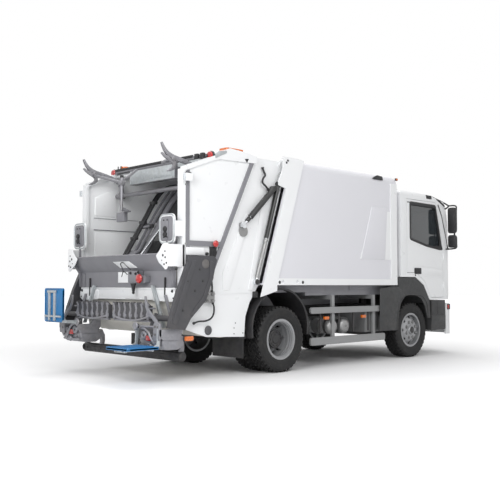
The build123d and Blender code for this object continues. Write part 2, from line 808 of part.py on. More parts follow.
# Side tanks: two air tanks on the right, a fuel tank on the left, a battery box in front of each
tank_diameter = 230
tank_length = 640
tank_front_x = 1720
tank_rows = 2
tank_strap_width = 60
tank_strap_shares = (0.25, 0.9)
fuel_length = 760
fuel_height = 420
fuel_depth = 400
fuel_rear = 720
box_front = 2230
box_length = 360
box_height = 330
tank_low = 440
tank_outer_y = 1050
with BuildPart() as side_tanks:
    for row in range(tank_rows):
        tank_y = -(rail_outer_y + tank_diameter * (row + 1 / 2) + (row + 1) * run_gap)
        with BuildSketch(cross(tank_front_x - tank_length)):
            with Locations((tank_y, tank_low + tank_diameter / 2)):
                Circle(tank_diameter / 2)
        extrude(amount=tank_length)
    fillet(side_tanks.edges().filter_by(GeomType.CIRCLE), tank_diameter / 8)
    for share in tank_strap_shares:
        strap_x = tank_front_x - tank_length * share
        add(box_block(
            strap_x, strap_x + tank_strap_width, -rail_outer_y - 3 * tank_diameter / 2, -rail_outer_y - run_gap,
            tank_low + tank_diameter - tank_strap_width / 4, tank_low + tank_diameter + tank_strap_width / 4,
        ).part)
    with BuildSketch(cross(fuel_rear)):
        with Locations((rail_outer_y + run_gap + fuel_depth / 2, tank_low + fuel_height / 2)):
            RectangleRounded(fuel_depth, fuel_height, fuel_height / 6)
    extrude(amount=fuel_length)
    with BuildSketch(cross(box_front - box_length)):
        for outward in (-1, 1):
            with Locations((outward * (rail_outer_y + tank_outer_y) / 2, tank_low + box_height / 2)):
                RectangleRounded(tank_outer_y - rail_outer_y - 2 * run_gap, box_height, rail_web)
    extrude(amount=box_length)
save(side_tanks, "side_tanks")

# Tailgate shell: side walls with a raised rear zone, hinge ears and pins, and the lifters' pins
gate_front_top = post_line(hinge_z - hinge_ear_diameter / 2, -gate_face_gap)
gate_plate_rear = gate_rear + rear_post_depth / 2
gate_panel_drop = 62
gate_panel_top = hinge_z - gate_panel_drop
gate_top_shares = [
    (1, 1),
    (0.634, 0.98),
    (0.303, 0.9734),
    (0.2413, 0.9601),
    (0, 0.8884),
]
gate_low_shares = [
    (0, 0.14),
    (0.03, 0.055),
    (0.21, 0.012),
    (0.56, 0),
    (0.572, 0.114),
    (0.615, 0.194),
]
gate_panel_shares = [
    (0, 0.4256),
    (0.2334, 0.3317),
    (0.6319, 0.9795),
    (0.303, 0.9734),
    (0.2413, 0.9601),
    (0, 0.8884),
]
gate_top_points = spread(gate_top_shares, gate_plate_rear, gate_front_top, gate_low, gate_panel_top)
gate_low_points = spread(gate_low_shares, gate_plate_rear, gate_front_top, gate_low, gate_panel_top)
ear_radius = hinge_ear_diameter / 2
with BuildPart() as gate_shell:
    with BuildSketch(side(gate_wall_y)):
        Polygon(*gate_top_points, *gate_low_points, (post_line(body_low, -gate_face_gap), body_low))
        Polygon(
            (hinge_x - 2 * ear_radius, gate_panel_top - ear_radius),
            (hinge_x + ear_radius, gate_panel_top - ear_radius),
            (hinge_x + ear_radius, hinge_z),
            (hinge_x - ear_radius, hinge_z),
        )
        with Locations((hinge_x, hinge_z)):
            Circle(ear_radius)
    extrude(amount=gate_wall)
    with BuildSketch(side(gate_panel_y)):
        Polygon(*spread(gate_panel_shares, gate_plate_rear, gate_front_top, gate_low, gate_panel_top))
    extrude(amount=gate_panel_y - gate_wall_y)
    # The hinge pin reaches out through the body's plate
    with BuildSketch(side(body_half_width)):
        with Locations((hinge_x, hinge_z)):
            Circle(hinge_pin_diameter / 2)
    extrude(amount=body_half_width - gate_wall_y + gate_wall)
    with BuildSketch(side(arm_inner_y + arm_thick)):
        with Locations((lifter_pivot_x, lifter_pivot_z)):
            Circle(lifter_pivot_diameter / 2)
    extrude(amount=arm_inner_y + arm_thick - gate_wall_y)
    with BuildSketch(side(gate_panel_y)):
        with Locations((packer_shaft_x, packer_shaft_z)):
            Circle(packer_shaft_diameter / 2 + pin_gap)
    extrude(amount=gate_panel_y - gate_wall_y + gate_wall, mode=Mode.SUBTRACT)
    mirror(about=Plane.XZ)
save(gate_shell, "tailgate_shell")

# Hopper floor: one curved sheet from the rear sill to the edge of the body's floor
belly_inner = gate_wall_y - gate_wall
belly_shares = [
    (0.03, 0.98),
    (0.03, 0.6),
    (0.09, 0.3),
    (0.22, 0.1),
    (0.5, 0.03),
    (0.8, 0.045),
    (0.812, 0.42),
    (0.87, 0.72),
    (0.96, 0.98),
]
belly_front = post_line(body_low, -gate_face_gap)
belly_points = spread(belly_shares, gate_rear, belly_front, gate_low, sill_low)


def hopper_blank(grow):
    """The hopper's inside with its floor's sheet, filled, and grown by a gap."""
    with BuildPart() as blank:
        with BuildSketch(side(belly_inner)):
            Polygon(*belly_points)
            offset(amount=belly_sheet / 2 + grow, kind=Kind.INTERSECTION, mode=Mode.REPLACE)
        extrude(amount=2 * belly_inner)
    return blank.part


with BuildPart() as belly:
    with BuildSketch(side(belly_inner)):
        with BuildLine():
            Polyline(*belly_points)
            offset(amount=belly_sheet / 2, side=Side.BOTH)
        make_face()
    extrude(amount=2 * belly_inner)
save(belly, "hopper_floor")

# Sill: lip and rear sheet
with BuildPart() as sill:
    sill_fold_z = sill_low + (mouth_sill_z - sill_low) / 2
    with BuildSketch(side(sill_half_width)):
        Polygon(
            (lip_x, mouth_sill_z),
            (lip_x + sill_sheet, mouth_sill_z),
            (sill_face_x + sill_sheet, sill_fold_z),
            (sill_face_x + sill_sheet, sill_low),
            (sill_face_x, sill_low),
            (sill_face_x, sill_fold_z),
            (lip_x, mouth_sill_z - sill_sheet),
        )
    extrude(amount=2 * sill_half_width)
save(sill, "hopper_sill")

# Rear posts on the beam under the sill
sill_beam_height = 145
sill_beam_depth = 78
guard_plate_x = -1775
guard_plate_thick = 18
guard_plate_inner_y = 815
guard_plate_low = 1630
guard_plate_height = 350
guard_plate_radius = 60
guard_arm_height = 180
with BuildPart() as rear_posts:
    with BuildSketch(cross(gate_rear)):
        with Locations((gate_frame_y - rear_post_width / 2, (sill_low + rear_post_top) / 2)):
            Rectangle(rear_post_width, rear_post_top - sill_low)
    extrude(amount=rear_post_depth / 2)
    guard_plate_middle = guard_plate_low + guard_plate_height / 2
    with BuildSketch(cross(guard_plate_x)):
        with Locations(((guard_plate_inner_y + gate_frame_y) / 2, guard_plate_middle)):
            RectangleRounded(gate_frame_y - guard_plate_inner_y, guard_plate_height, guard_plate_radius)
    extrude(amount=guard_plate_thick)
    add(box_block(
        guard_plate_x + guard_plate_thick / 2, gate_rear + run_gap,
        gate_frame_y - rear_post_width + 2 * run_gap, gate_frame_y - 2 * run_gap,
        guard_plate_middle - guard_arm_height / 2, guard_plate_middle + guard_arm_height / 2,
    ).part)
    mirror(about=Plane.XZ)
    with BuildSketch(side(sill_half_width)):
        with Locations((sill_face_x + sill_beam_depth / 2, sill_low - sill_beam_height / 2)):
            Rectangle(sill_beam_depth, sill_beam_height)
    extrude(amount=2 * sill_half_width)
save(rear_posts, "rear_posts")

# Frame strips on the sides and the cross beam at the roof's rear edge
strip_slant_shares = [(0.6319, 0.9795), (0.597, 0.9788), (0.2334, 0.3866), (0.2334, 0.3317)]
strip_rear_top = 2510
strip_cross_z = 1610
strip_cross_x = -1030
roof_rear = -1150
roof_beam_depth = 40
roof_beam_drop = 136
roof_beam_low = body_top - roof_beam_drop
roof_beam_height = 60
roof_beam_half = 995
lamp_box_depth = 100
lamp_box_height = 190
lamp_box_ys = (-440, 550)
with BuildPart() as side_strips:
    strip_low = mouth_sill_z - strip_width
    with BuildSketch(side(gate_frame_y)):
        Polygon(*spread(strip_slant_shares, gate_plate_rear, gate_front_top, gate_low, gate_panel_top))
        Polygon(
            (gate_plate_rear, strip_low),
            (gate_plate_rear + strip_width, strip_low),
            (gate_plate_rear + strip_width, strip_rear_top),
            (gate_plate_rear, strip_rear_top - strip_width / 2),
        )
        Polygon(
            (gate_plate_rear, strip_cross_z),
            (strip_cross_x, strip_cross_z),
            (strip_cross_x, strip_cross_z + strip_width),
            (gate_plate_rear, strip_cross_z + strip_width),
        )
    extrude(amount=gate_frame_y - gate_panel_y)
    mirror(about=Plane.XZ)
    add(box_block(
        roof_rear - roof_beam_depth, roof_rear - run_gap, -roof_beam_half, roof_beam_half,
        roof_beam_low, roof_beam_low + roof_beam_height,
    ).part)
    add(box_block(
        roof_rear - lamp_box_depth, roof_rear - run_gap, *lamp_box_ys,
        roof_beam_low - lamp_box_height, roof_beam_low + run_gap,
    ).part)
save(side_strips, "side_strips")

# Tailgate roof: a wedge over the front half, its front part between the ears, and a cap on each wall
roof_peak_x = -900
roof_peak_length = 180
roof_peak_fall = 26
roof_step = 80
roof_front_x = -430
roof_shelf_drop = 40
roof_shelf_z = body_top - roof_shelf_drop
cap_top_shares = [(0.2581, 0.99), (0.235, 0.983), (0, 0.912)]
cap_inner_y = 1000
with BuildPart() as gate_roof:
    cap_rise = gate_top_points[2][1] - gate_top_points[3][1]
    cap_run = gate_top_points[2][0] - gate_top_points[3][0]
    roof_rear_z = gate_top_points[3][1] + (roof_rear - gate_top_points[3][0]) * cap_rise / cap_run
    roof_under = [
        (roof_rear, roof_rear_z),
        gate_top_points[2],
        gate_top_points[1],
        (roof_front_x, gate_top_points[1][1] + move_gap / 2),
    ]
    with BuildSketch(side(gate_frame_y)):
        Polygon(
            *roof_under,
            (roof_front_x, roof_shelf_z),
            (roof_front_x - roof_step, roof_shelf_z + roof_peak_fall / 2),
            (roof_peak_x + roof_peak_length, gate_roof_top - roof_peak_fall),
            (roof_peak_x, gate_roof_top - roof_peak_fall / 2),
            (roof_peak_x - roof_peak_length / 2, gate_roof_top - 2 * roof_peak_fall),
            (roof_rear, roof_beam_low + roof_beam_height),
        )
    extrude(amount=2 * gate_frame_y)
    with BuildSketch(side(belly_inner)):
        Polygon(
            roof_under[3],
            gate_top_points[0],
            (gate_front_top, roof_shelf_z),
            (roof_front_x, roof_shelf_z),
        )
    extrude(amount=2 * belly_inner)
    cap_top = spread(cap_top_shares, gate_plate_rear, gate_front_top, gate_low, gate_panel_top)
    for cap_y in (gate_frame_y, -cap_inner_y):
        with BuildSketch(side(cap_y)):
            Polygon(gate_top_points[4], gate_top_points[3], roof_under[0], *cap_top)
        extrude(amount=gate_frame_y - cap_inner_y)
save(gate_roof, "tailgate_roof")

# Lid-opener forks on a cross tube under the roof
fork_tube_x = -1140
fork_tube_z = 2400
fork_tube_diameter = 60
fork_thick = 24
fork_places = (900, -850)
fork_shares = [
    (0.0, 1.0),
    (0.1, 0.98),
    (0.2, 0.62),
    (0.42, 0.42),
    (1.0, 0.5),
    (1.0, 0.38),
    (0.42, 0.22),
    (0.16, 0.1),
    (0.13, 0.0),
    (0.05, 0.04),
    (0.1, 0.36),
    (0.08, 0.66),
]
fork_tip_x = -1790
fork_low = 2400
fork_tip_z = 2850
with BuildPart() as forks:
    with BuildSketch(side(belly_inner)):
        with Locations((fork_tube_x, fork_tube_z)):
            Circle(fork_tube_diameter / 2)
    extrude(amount=2 * belly_inner)
    for place in fork_places:
        with BuildSketch(side(place + fork_thick / 2)):
            Polygon(*spread(fork_shares, fork_tip_x, fork_tube_x, fork_low, fork_tip_z))
            Polygon(
                (fork_tube_x - fork_tube_diameter, fork_tube_z + 3 * fork_tube_diameter),
                (fork_tube_x, fork_tube_z + 3 * fork_tube_diameter),
                (fork_tube_x + fork_tube_diameter / 2, fork_tube_z),
                (fork_tube_x - fork_tube_diameter / 2, fork_tube_z),
            )
        extrude(amount=fork_thick)
save(forks, "lid_opener_forks")

# Lamps of the tailgate: amber beacons on the roof and red rear lamps on the step housings
beacon_height = 40
beacon_bar_length = 280
beacon_bar_width = 150
beacon_bar_x = -790
beacon_bar_y = -1000
beacon_diameter = 120
beacon_x = -1060
beacon_y = 960
with BuildPart() as beacons:
    with BuildSketch(plan(gate_roof_top - beacon_height)):
        with Locations((beacon_bar_x, beacon_bar_y)):
            RectangleRounded(beacon_bar_length, beacon_bar_width, beacon_height / 2)
    extrude(amount=beacon_height)
    with BuildSketch(plan(roof_shelf_z - beacon_height / 4)):
        with Locations((beacon_x, beacon_y)):
            Circle(beacon_diameter / 2)
    extrude(amount=beacon_height)
    add(gate_roof.part, mode=Mode.SUBTRACT)
save(beacons, "beacons")

tail_lamp_rear = -1946
tail_lamp_inner_y = 690
tail_lamp_width = 340
tail_lamp_low = 490
tail_lamp_height = 110
tail_lamp_depth = 20
with BuildPart() as tail_lamps:
    with BuildSketch(cross(tail_lamp_rear)):
        for outward in (-1, 1):
            with Locations((
                outward * (tail_lamp_inner_y + tail_lamp_width / 2), tail_lamp_low + tail_lamp_height / 2,
            )):
                RectangleRounded(tail_lamp_width, tail_lamp_height, tail_lamp_depth)
    extrude(amount=tail_lamp_depth)
save(tail_lamps, "tail_lamps")

# Bin lifters: an outer arm, a cross tube and a comb, one unit on each side
arm_shares = [
    (0.399, 1.0),
    (0.934, 1.0),
    (1.0, 0.946),
    (0.957, 0.834),
    (0.913, 0.695),
    (0.762, 0.391),
    (0.445, 0.152),
    (0.322, 0.0),
    (0.0, 0.03),
    (0.077, 0.27),
    (0.196, 0.535),
    (0.399, 0.912),
]
arm_rear_x = -1900
arm_front_x = -1176
arm_low = 625
arm_top = 1493
comb_hook_lean = 22
with BuildPart() as lifter_right:
    with BuildSketch(side(-arm_inner_y)):
        Polygon(*spread(arm_shares, arm_rear_x, arm_front_x, arm_low, arm_top))
        with Locations((lifter_pivot_x, lifter_pivot_z)):
            Circle(lifter_pivot_diameter / 2 + pin_gap, mode=Mode.SUBTRACT)
    extrude(amount=arm_thick)
    with BuildSketch(side(-comb_inner_y)):
        with Locations((lifter_tube_x, lifter_tube_z)):
            Circle(lifter_tube_diameter / 2)
    extrude(amount=arm_inner_y - comb_inner_y)
    with BuildSketch(side(-comb_inner_y)):
        with Locations((comb_x, comb_low + comb_height / 2)):
            Rectangle(comb_depth, comb_height)
    extrude(amount=comb_outer_y - comb_inner_y)
    tooth_pitch = (comb_outer_y - comb_inner_y) / comb_tooth_count
    for tooth in range(comb_tooth_count):
        tooth_y = -comb_inner_y - tooth_pitch * (tooth + 1 / 2) + comb_tooth_width / 2
        with BuildSketch(side(tooth_y)):
            Polygon(
                (comb_x - comb_depth / 2, comb_low + comb_height),
                (comb_x + comb_depth / 2, comb_low + comb_height),
                (comb_x - comb_hook_lean, comb_low + comb_height + comb_tooth_height),
                (comb_x - comb_depth / 2 - comb_hook_lean, comb_low + comb_height + comb_tooth_height),
            )
        extrude(amount=comb_tooth_width)
save(lifter_right, "bin_lifter_right")
with BuildPart() as lifter_left:
    mirror(lifter_right.part, about=Plane.XZ)
save(lifter_left, "bin_lifter_left")

# Tailgate's lift cylinders: the barrel swings on the body's pin and the rod slides in it
lift_run_x = lift_foot_x - lift_top_x
lift_run_z = lift_foot_z - lift_top_z
lift_length = (lift_run_x ** 2 + lift_run_z ** 2) ** (1 / 2)
lift_barrel_length = lift_length * lift_barrel_share
rod_hidden = 450
rod_eye_gap = 5
bore_over = 30
rod_eye_outer_y = lift_y + lift_eye_width / 2
rod_eye_inner_y = gate_wall_y + rod_eye_gap
for hand, outward in (("left", 1), ("right", -1)):
    top = Vector(rear_axle_x + lift_top_x, outward * lift_y, lift_top_z)
    along = Vector(lift_run_x, 0, lift_run_z).normalized()
    eye_side_y = outward * lift_y + lift_eye_width / 2

    with BuildPart() as barrel:
        with BuildSketch(Plane(origin=top + along * (lift_eye_diameter / 4), z_dir=along)):
            Circle(lift_barrel_diameter / 2)
        extrude(amount=lift_barrel_length - lift_eye_diameter / 4)
        with BuildSketch(side(eye_side_y)):
            with Locations((lift_top_x, lift_top_z)):
                Circle(lift_eye_diameter / 2)
        extrude(amount=lift_eye_width)
        with BuildSketch(side(eye_side_y + cut_over)):
            with Locations((lift_top_x, lift_top_z)):
                Circle(lift_pin_diameter / 2 + pin_gap)
        extrude(amount=lift_eye_width + 2 * cut_over, mode=Mode.SUBTRACT)
        bore_length = rod_hidden + bore_over
        with BuildSketch(Plane(origin=top + along * (lift_barrel_length - bore_length), z_dir=along)):
            Circle(lift_rod_diameter / 2 + pin_gap)
        extrude(amount=bore_length, mode=Mode.SUBTRACT)
    save(barrel, f"lift_barrel_{hand}")

    with BuildPart() as rod:
        with BuildSketch(Plane(origin=top + along * (lift_barrel_length - rod_hidden), z_dir=along)):
            Circle(lift_rod_diameter / 2)
        extrude(amount=rod_hidden + lift_length - lift_barrel_length - lift_eye_diameter / 4)
        with BuildSketch(side(max(outward * rod_eye_inner_y, outward * rod_eye_outer_y))):
            with Locations((lift_foot_x, lift_foot_z)):
                Circle(lift_eye_diameter / 2)
        extrude(amount=rod_eye_outer_y - rod_eye_inner_y)
    save(rod, f"lift_rod_{hand}")

# Packer: a shaft with an upper plate and levers, and a blade hinged at the plate's lower edge
arm_run = Vector(1, 0).rotate(Axis.Z, packer_arm_angle)
blade_run = Vector(1, 0).rotate(Axis.Z, blade_angle)
lever_run = Vector(1, 0).rotate(Axis.Z, packer_lever_angle)
shaft_place = Vector(packer_shaft_x, packer_shaft_z)
blade_hinge = shaft_place + arm_run * packer_arm_length
blade_tip = blade_hinge + blade_run * blade_length
lever_pin = shaft_place + lever_run * packer_lever
lever_thick = 20
blade_pin_diameter = 50
knuckle_width = 120
knuckle_places_share = (-0.8, 0, 0.8)


def strip_between(start, end, half):
    """The four corners of a strip of a given half thickness from one place to another."""
    across = (end - start).normalized().rotate(Axis.Z, 90) * half
    corners = (start + across, end + across, end - across, start - across)
    return [(corner.X, corner.Y) for corner in corners]


with BuildPart() as packer_plate_piece:
    with BuildSketch(side(packer_half_width)):
        Polygon(*strip_between(shaft_place, blade_hinge - arm_run * (blade_thick / 2 + move_gap), packer_plate / 2))
    extrude(amount=2 * packer_half_width)
    lever_y = gate_wall_y + move_gap + lever_thick
    with BuildSketch(side(lever_y)):
        with Locations((packer_shaft_x, packer_shaft_z)):
            Circle(packer_shaft_diameter / 2)
    extrude(amount=2 * lever_y)
    for outer in (lever_y, -lever_y + lever_thick):
        with BuildSketch(side(outer)):
            with Locations((packer_shaft_x, packer_shaft_z)):
                Circle(packer_boss_diameter / 2)
            with Locations((lever_pin.X, lever_pin.Y)):
                Circle(packer_rod_diameter)
            Polygon(*strip_between(shaft_place, lever_pin, packer_rod_diameter))
        extrude(amount=lever_thick)
    for share in knuckle_places_share:
        with BuildSketch(side(share * packer_half_width + knuckle_width / 2)):
            Polygon(*strip_between(blade_hinge - arm_run * (2 * blade_thick), blade_hinge, packer_plate / 2))
            with Locations((blade_hinge.X, blade_hinge.Y)):
                Circle(packer_plate / 2)
        extrude(amount=knuckle_width)
        with BuildSketch(side(share * packer_half_width + knuckle_width / 2)):
            with Locations((blade_hinge.X, blade_hinge.Y)):
                Circle(blade_pin_diameter / 4 + pin_gap)
        extrude(amount=knuckle_width, mode=Mode.SUBTRACT)
save(packer_plate_piece, "packer_plate")

with BuildPart() as blade:
    with BuildSketch(side(packer_half_width)):
        with Locations((blade_hinge.X, blade_hinge.Y)):
            Circle(blade_thick / 2)
        Polygon(*strip_between(blade_hinge, blade_tip, blade_thick / 2))
    extrude(amount=2 * packer_half_width)
    for share in knuckle_places_share:
        with BuildSketch(side(share * packer_half_width + knuckle_width / 2 + move_gap)):
            with Locations((blade_hinge.X, blade_hinge.Y)):
                Circle(blade_thick / 2 + blade_thick / 2)
        extrude(amount=knuckle_width + 2 * move_gap, mode=Mode.SUBTRACT)
    with BuildSketch(side(packer_half_width)):
        with Locations((blade_hinge.X, blade_hinge.Y)):
            Circle(blade_pin_diameter / 4)
    extrude(amount=2 * packer_half_width)
save(blade, "packer_blade")

packer_top = Vector(packer_top_x, packer_top_z)
packer_run = (lever_pin - packer_top).normalized()
packer_length = (lever_pin - packer_top).length
packer_barrel_share = 0.78
packer_barrel_length = packer_length * packer_barrel_share
packer_rod_hidden = 200
packer_eye_radius = 34
with BuildPart() as packer_barrels:
    top = Vector(rear_axle_x + packer_top_x, packer_y, packer_top_z)
    along = Vector(packer_run.X, 0, packer_run.Y)
    with BuildSketch(Plane(origin=top, z_dir=along)):
        Circle(packer_barrel_diameter / 2)
    extrude(amount=packer_barrel_length)
    with BuildSketch(side(packer_y + packer_eye_radius)):
        with Locations((packer_top_x, packer_top_z)):
            Circle(packer_eye_radius)
    extrude(amount=packer_y + packer_eye_radius - gate_wall_y)
    with BuildSketch(Plane(origin=top + along * (packer_barrel_length - packer_rod_hidden), z_dir=along)):
        Circle(packer_rod_diameter / 2 + pin_gap)
    extrude(amount=packer_rod_hidden, mode=Mode.SUBTRACT)
    mirror(about=Plane.XZ)
save(packer_barrels, "packer_barrels")
for hand, outward in (("left", 1), ("right", -1)):
    top = Vector(rear_axle_x + packer_top_x, outward * packer_y, packer_top_z)
    with BuildPart() as packer_rod:
        rod_start = packer_barrel_length - packer_rod_hidden + bore_over
        with BuildSketch(Plane(origin=top + along * rod_start, z_dir=along)):
            Circle(packer_rod_diameter / 2)
        extrude(amount=packer_length - rod_start - packer_rod_diameter / 2)
        rod_eye_half = packer_y - lever_y - move_gap
        with BuildSketch(side(outward * packer_y + rod_eye_half)):
            with Locations((lever_pin.X, lever_pin.Y)):
                Circle(packer_rod_diameter)
        extrude(amount=2 * rod_eye_half)
    save(packer_rod, f"packer_rod_{hand}")

# Crew steps: a ribbed board on two drop arms that swing on a pin, lowered on the right, folded up on the left
step_hinge_x = step_board_length - rear_reach
step_outer_y = step_board_inner_y + step_board_width
step_board_z = step_hinge_z - step_drop
with BuildPart() as step_right:
    with BuildSketch(plan(step_board_z - step_board_thick / 2)):
        with Locations((step_hinge_x - step_board_length / 2, -(step_board_inner_y + step_outer_y) / 2)):
            Rectangle(step_board_length, step_board_width)
    extrude(amount=step_board_thick)
    for arm_y in (-step_board_inner_y - step_arm_thick, -step_outer_y + 2 * step_arm_thick):
        with BuildSketch(side(arm_y)):
            with Locations((step_hinge_x, step_hinge_z)):
                Circle(step_pin_diameter)
            Polygon(
                (step_hinge_x - step_pin_diameter, step_hinge_z),
                (step_hinge_x + step_pin_diameter, step_hinge_z),
                (step_hinge_x, step_board_z),
                (step_hinge_x - 4 * step_pin_diameter, step_board_z),
            )
            with Locations((step_hinge_x, step_hinge_z)):
                Circle(step_pin_diameter / 2 + pin_gap, mode=Mode.SUBTRACT)
        extrude(amount=step_arm_thick)
save(step_right, "crew_step_right")
with BuildPart() as step_left:
    add(mirror(step_right.part, about=Plane.XZ, mode=Mode.PRIVATE).rotate(y_axis(step_hinge_x, step_hinge_z), 90))
save(step_left, "crew_step_left")

# Rear guard: the steps' hinge plates and housings under the hopper, and the underrun bar on its hangers
bracket_thick = 18
housing_rear = -1991
housing_front = -1625
housing_low = 395
bracket_shares = [
    (0, 0.428),
    (0.18, 0.29),
    (0.795, 0.29),
    (1, 0.535),
    (1, 1),
    (0.795, 1),
    (0.576, 0.535),
    (0, 0.52),
]
housing_shares = [
    (0.18, 0.395),
    (0.18, 0.13),
    (0.303, 0.01),
    (0.795, 0),
    (1.068, 0.13),
    (1.068, 0.34),
    (0.96, 0.395),
]
hanger_y = 420
hanger_thick = 20
hanger_shares = [(0, 0), (0.16, 0), (1, 0.7), (0.18, 1)]
hanger_front = -1200
hanger_top = 720
with BuildPart() as rear_guard:
    beam_under = sill_low - sill_beam_height - run_gap
    plate_inner_y = step_board_inner_y + step_arm_thick - bracket_thick - move_gap
    plate_outer_y = step_outer_y - step_arm_thick + move_gap + bracket_thick
    for plate_y in (plate_inner_y + bracket_thick, plate_outer_y):
        with BuildSketch(side(plate_y)):
            Polygon(*spread(bracket_shares, housing_rear, housing_front, housing_low, beam_under))
        extrude(amount=bracket_thick)
    with BuildSketch(side(plate_outer_y)):
        Polygon(*spread(housing_shares, housing_rear, housing_front, housing_low, beam_under))
    extrude(amount=plate_outer_y - plate_inner_y)
    with BuildSketch(side(plate_outer_y)):
        with Locations((step_hinge_x, step_hinge_z)):
            Circle(step_pin_diameter / 2)
    extrude(amount=plate_outer_y - plate_inner_y)
    mirror(about=Plane.XZ)
    with BuildSketch(side(underrun_half_width)):
        with Locations((underrun_x + underrun_depth / 2, underrun_low + underrun_height / 2)):
            RectangleRounded(underrun_depth, underrun_height, underrun_depth / 4)
    extrude(amount=2 * underrun_half_width)
    for outward in (-1, 1):
        with BuildSketch(side(outward * hanger_y + hanger_thick / 2)):
            Polygon(*spread(
                hanger_shares, underrun_x, hanger_front, underrun_low + underrun_height / 2, hanger_top,
            ))
        extrude(amount=hanger_thick)
    add(hopper_blank(run_gap), mode=Mode.SUBTRACT)
save(rear_guard, "rear_guard")

# Cab: one outer form, given by its side, plan and front outlines, and the same form inset by the wall
cab_shares = [
    (0.0, 0.21),
    (0.0, 0.97),
    (0.025, 1.0),
    (0.5, 0.986),
    (0.8, 0.93),
    (0.838, 0.885),
    (0.986, 0.466),
    (1.0, 0.34),
    (1.0, 0.0),
    (0.52, 0.0),
    (0.41, 0.137),
    (0.263, 0.21),
]
cab_roof_radius = 90


def cab_form(inset):
    """The cab's form, inset by a thickness."""
    with BuildPart() as form:
        with BuildSketch(side(cab_half_width - inset)):
            Polygon(*spread(cab_shares, cab_back, cab_front, cab_low, cab_roof))
            if inset:
                offset(amount=-inset, kind=Kind.INTERSECTION, mode=Mode.REPLACE)
        extrude(amount=2 * (cab_half_width - inset))
        with BuildSketch(plan(cab_low)) as outline:
            with Locations(((cab_back + cab_front) / 2 - inset, 0)):
                Rectangle(cab_front - cab_back, 2 * (cab_half_width - inset))
            fillet(outline.vertices().group_by(Axis.X)[-1], cab_corner_radius - inset)
        extrude(amount=cab_roof - cab_low, mode=Mode.INTERSECT)
        with BuildSketch(cross(cab_back)) as front:
            with Locations((0, (cab_low + cab_roof) / 2 - inset)):
                Rectangle(2 * (cab_half_width - inset), cab_roof - cab_low)
            fillet(front.vertices().group_by(Axis.Y)[-1], cab_roof_radius - inset)
        extrude(amount=cab_front - cab_back, mode=Mode.INTERSECT)
    return form.part


def cab_pane(inset):
    """The thin skin between two insets, which the glass panes are cut from."""
    with BuildPart() as skin:
        add(cab_form(inset))
        add(cab_form(inset + glass_thick), mode=Mode.SUBTRACT)
    return skin.part


door_shares = [
    (0, 0.2556),
    (0.2452, 0.2556),
    (0.476, 0.166),
    (0.654, 0),
    (1, 0),
    (1, 0.514),
    (0.844, 0.968),
    (0.779, 1),
    (0, 1),
]
window_shares = [
    (0.096, 0.6006),
    (0.529, 0.546),
    (0.913, 0.5176),
    (0.928, 0.546),
    (0.7865, 0.944),
    (0.096, 0.951),
]
door_points = spread(door_shares, door_rear, door_front, door_low, door_top)
window_points = spread(window_shares, door_rear, door_front, door_low, door_top)
window_radius = 40
screen_foot_x = 4215
screen_foot_z = 1730
screen_head_x = 3992
screen_head_z = 2450
screen_foot = Vector(rear_axle_x + screen_foot_x, 0, screen_foot_z)
screen_head = Vector(rear_axle_x + screen_head_x, 0, screen_head_z)
screen_up = (screen_head - screen_foot).normalized()
screen_plane = Plane(origin=screen_foot, x_dir=(0, 1, 0), z_dir=Vector(0, 1, 0).cross(screen_up))
screen_half = 1010
screen_margin = 45
tunnel_half = 400
door_axis_x = door_front + door_gap / 2
door_axis_y = 1157
door_knuckle_radius = 10
door_plate = 22
door_pin_radius = 5
door_hinge_lows = (1080, 1560)
door_hinge_height = 110
door_hinge_third = 0.33
door_hinge_play = 0.01
tunnel_sheet = 40
tunnel_front = 3700
tunnel_top = 1180


def door_knuckles(outward, low_share, high_share, x_from, x_to, pin_radius):
    """Round knuckles on the door's hinge line, each with its plate, and the pin or its hole."""
    with BuildPart() as knuckles:
        for hinge_low in door_hinge_lows:
            low = hinge_low + door_hinge_height * low_share
            high = hinge_low + door_hinge_height * high_share
            with BuildSketch(plan(low)):
                with Locations((door_axis_x, outward * door_axis_y)):
                    Circle(door_knuckle_radius)
                plate_y = outward * (cab_half_width + door_axis_y) / 2
                with Locations(((x_from + x_to) / 2, plate_y)):
                    Rectangle(x_to - x_from, door_axis_y - cab_half_width)
                if pin_radius:
                    with Locations((door_axis_x, outward * door_axis_y)):
                        Circle(pin_radius, mode=Mode.SUBTRACT)
            extrude(amount=high - low)
    return knuckles.part


def screen_sketch(shrink):
    """The windscreen's outline on its slanted plane."""
    height = (screen_head - screen_foot).length - 2 * screen_margin
    with BuildSketch(screen_plane) as outline:
        with Locations((0, height / 2 + screen_margin)):
            RectangleRounded(2 * (screen_half - shrink), height - 2 * shrink, 2 * window_radius)
    return outline.sketch


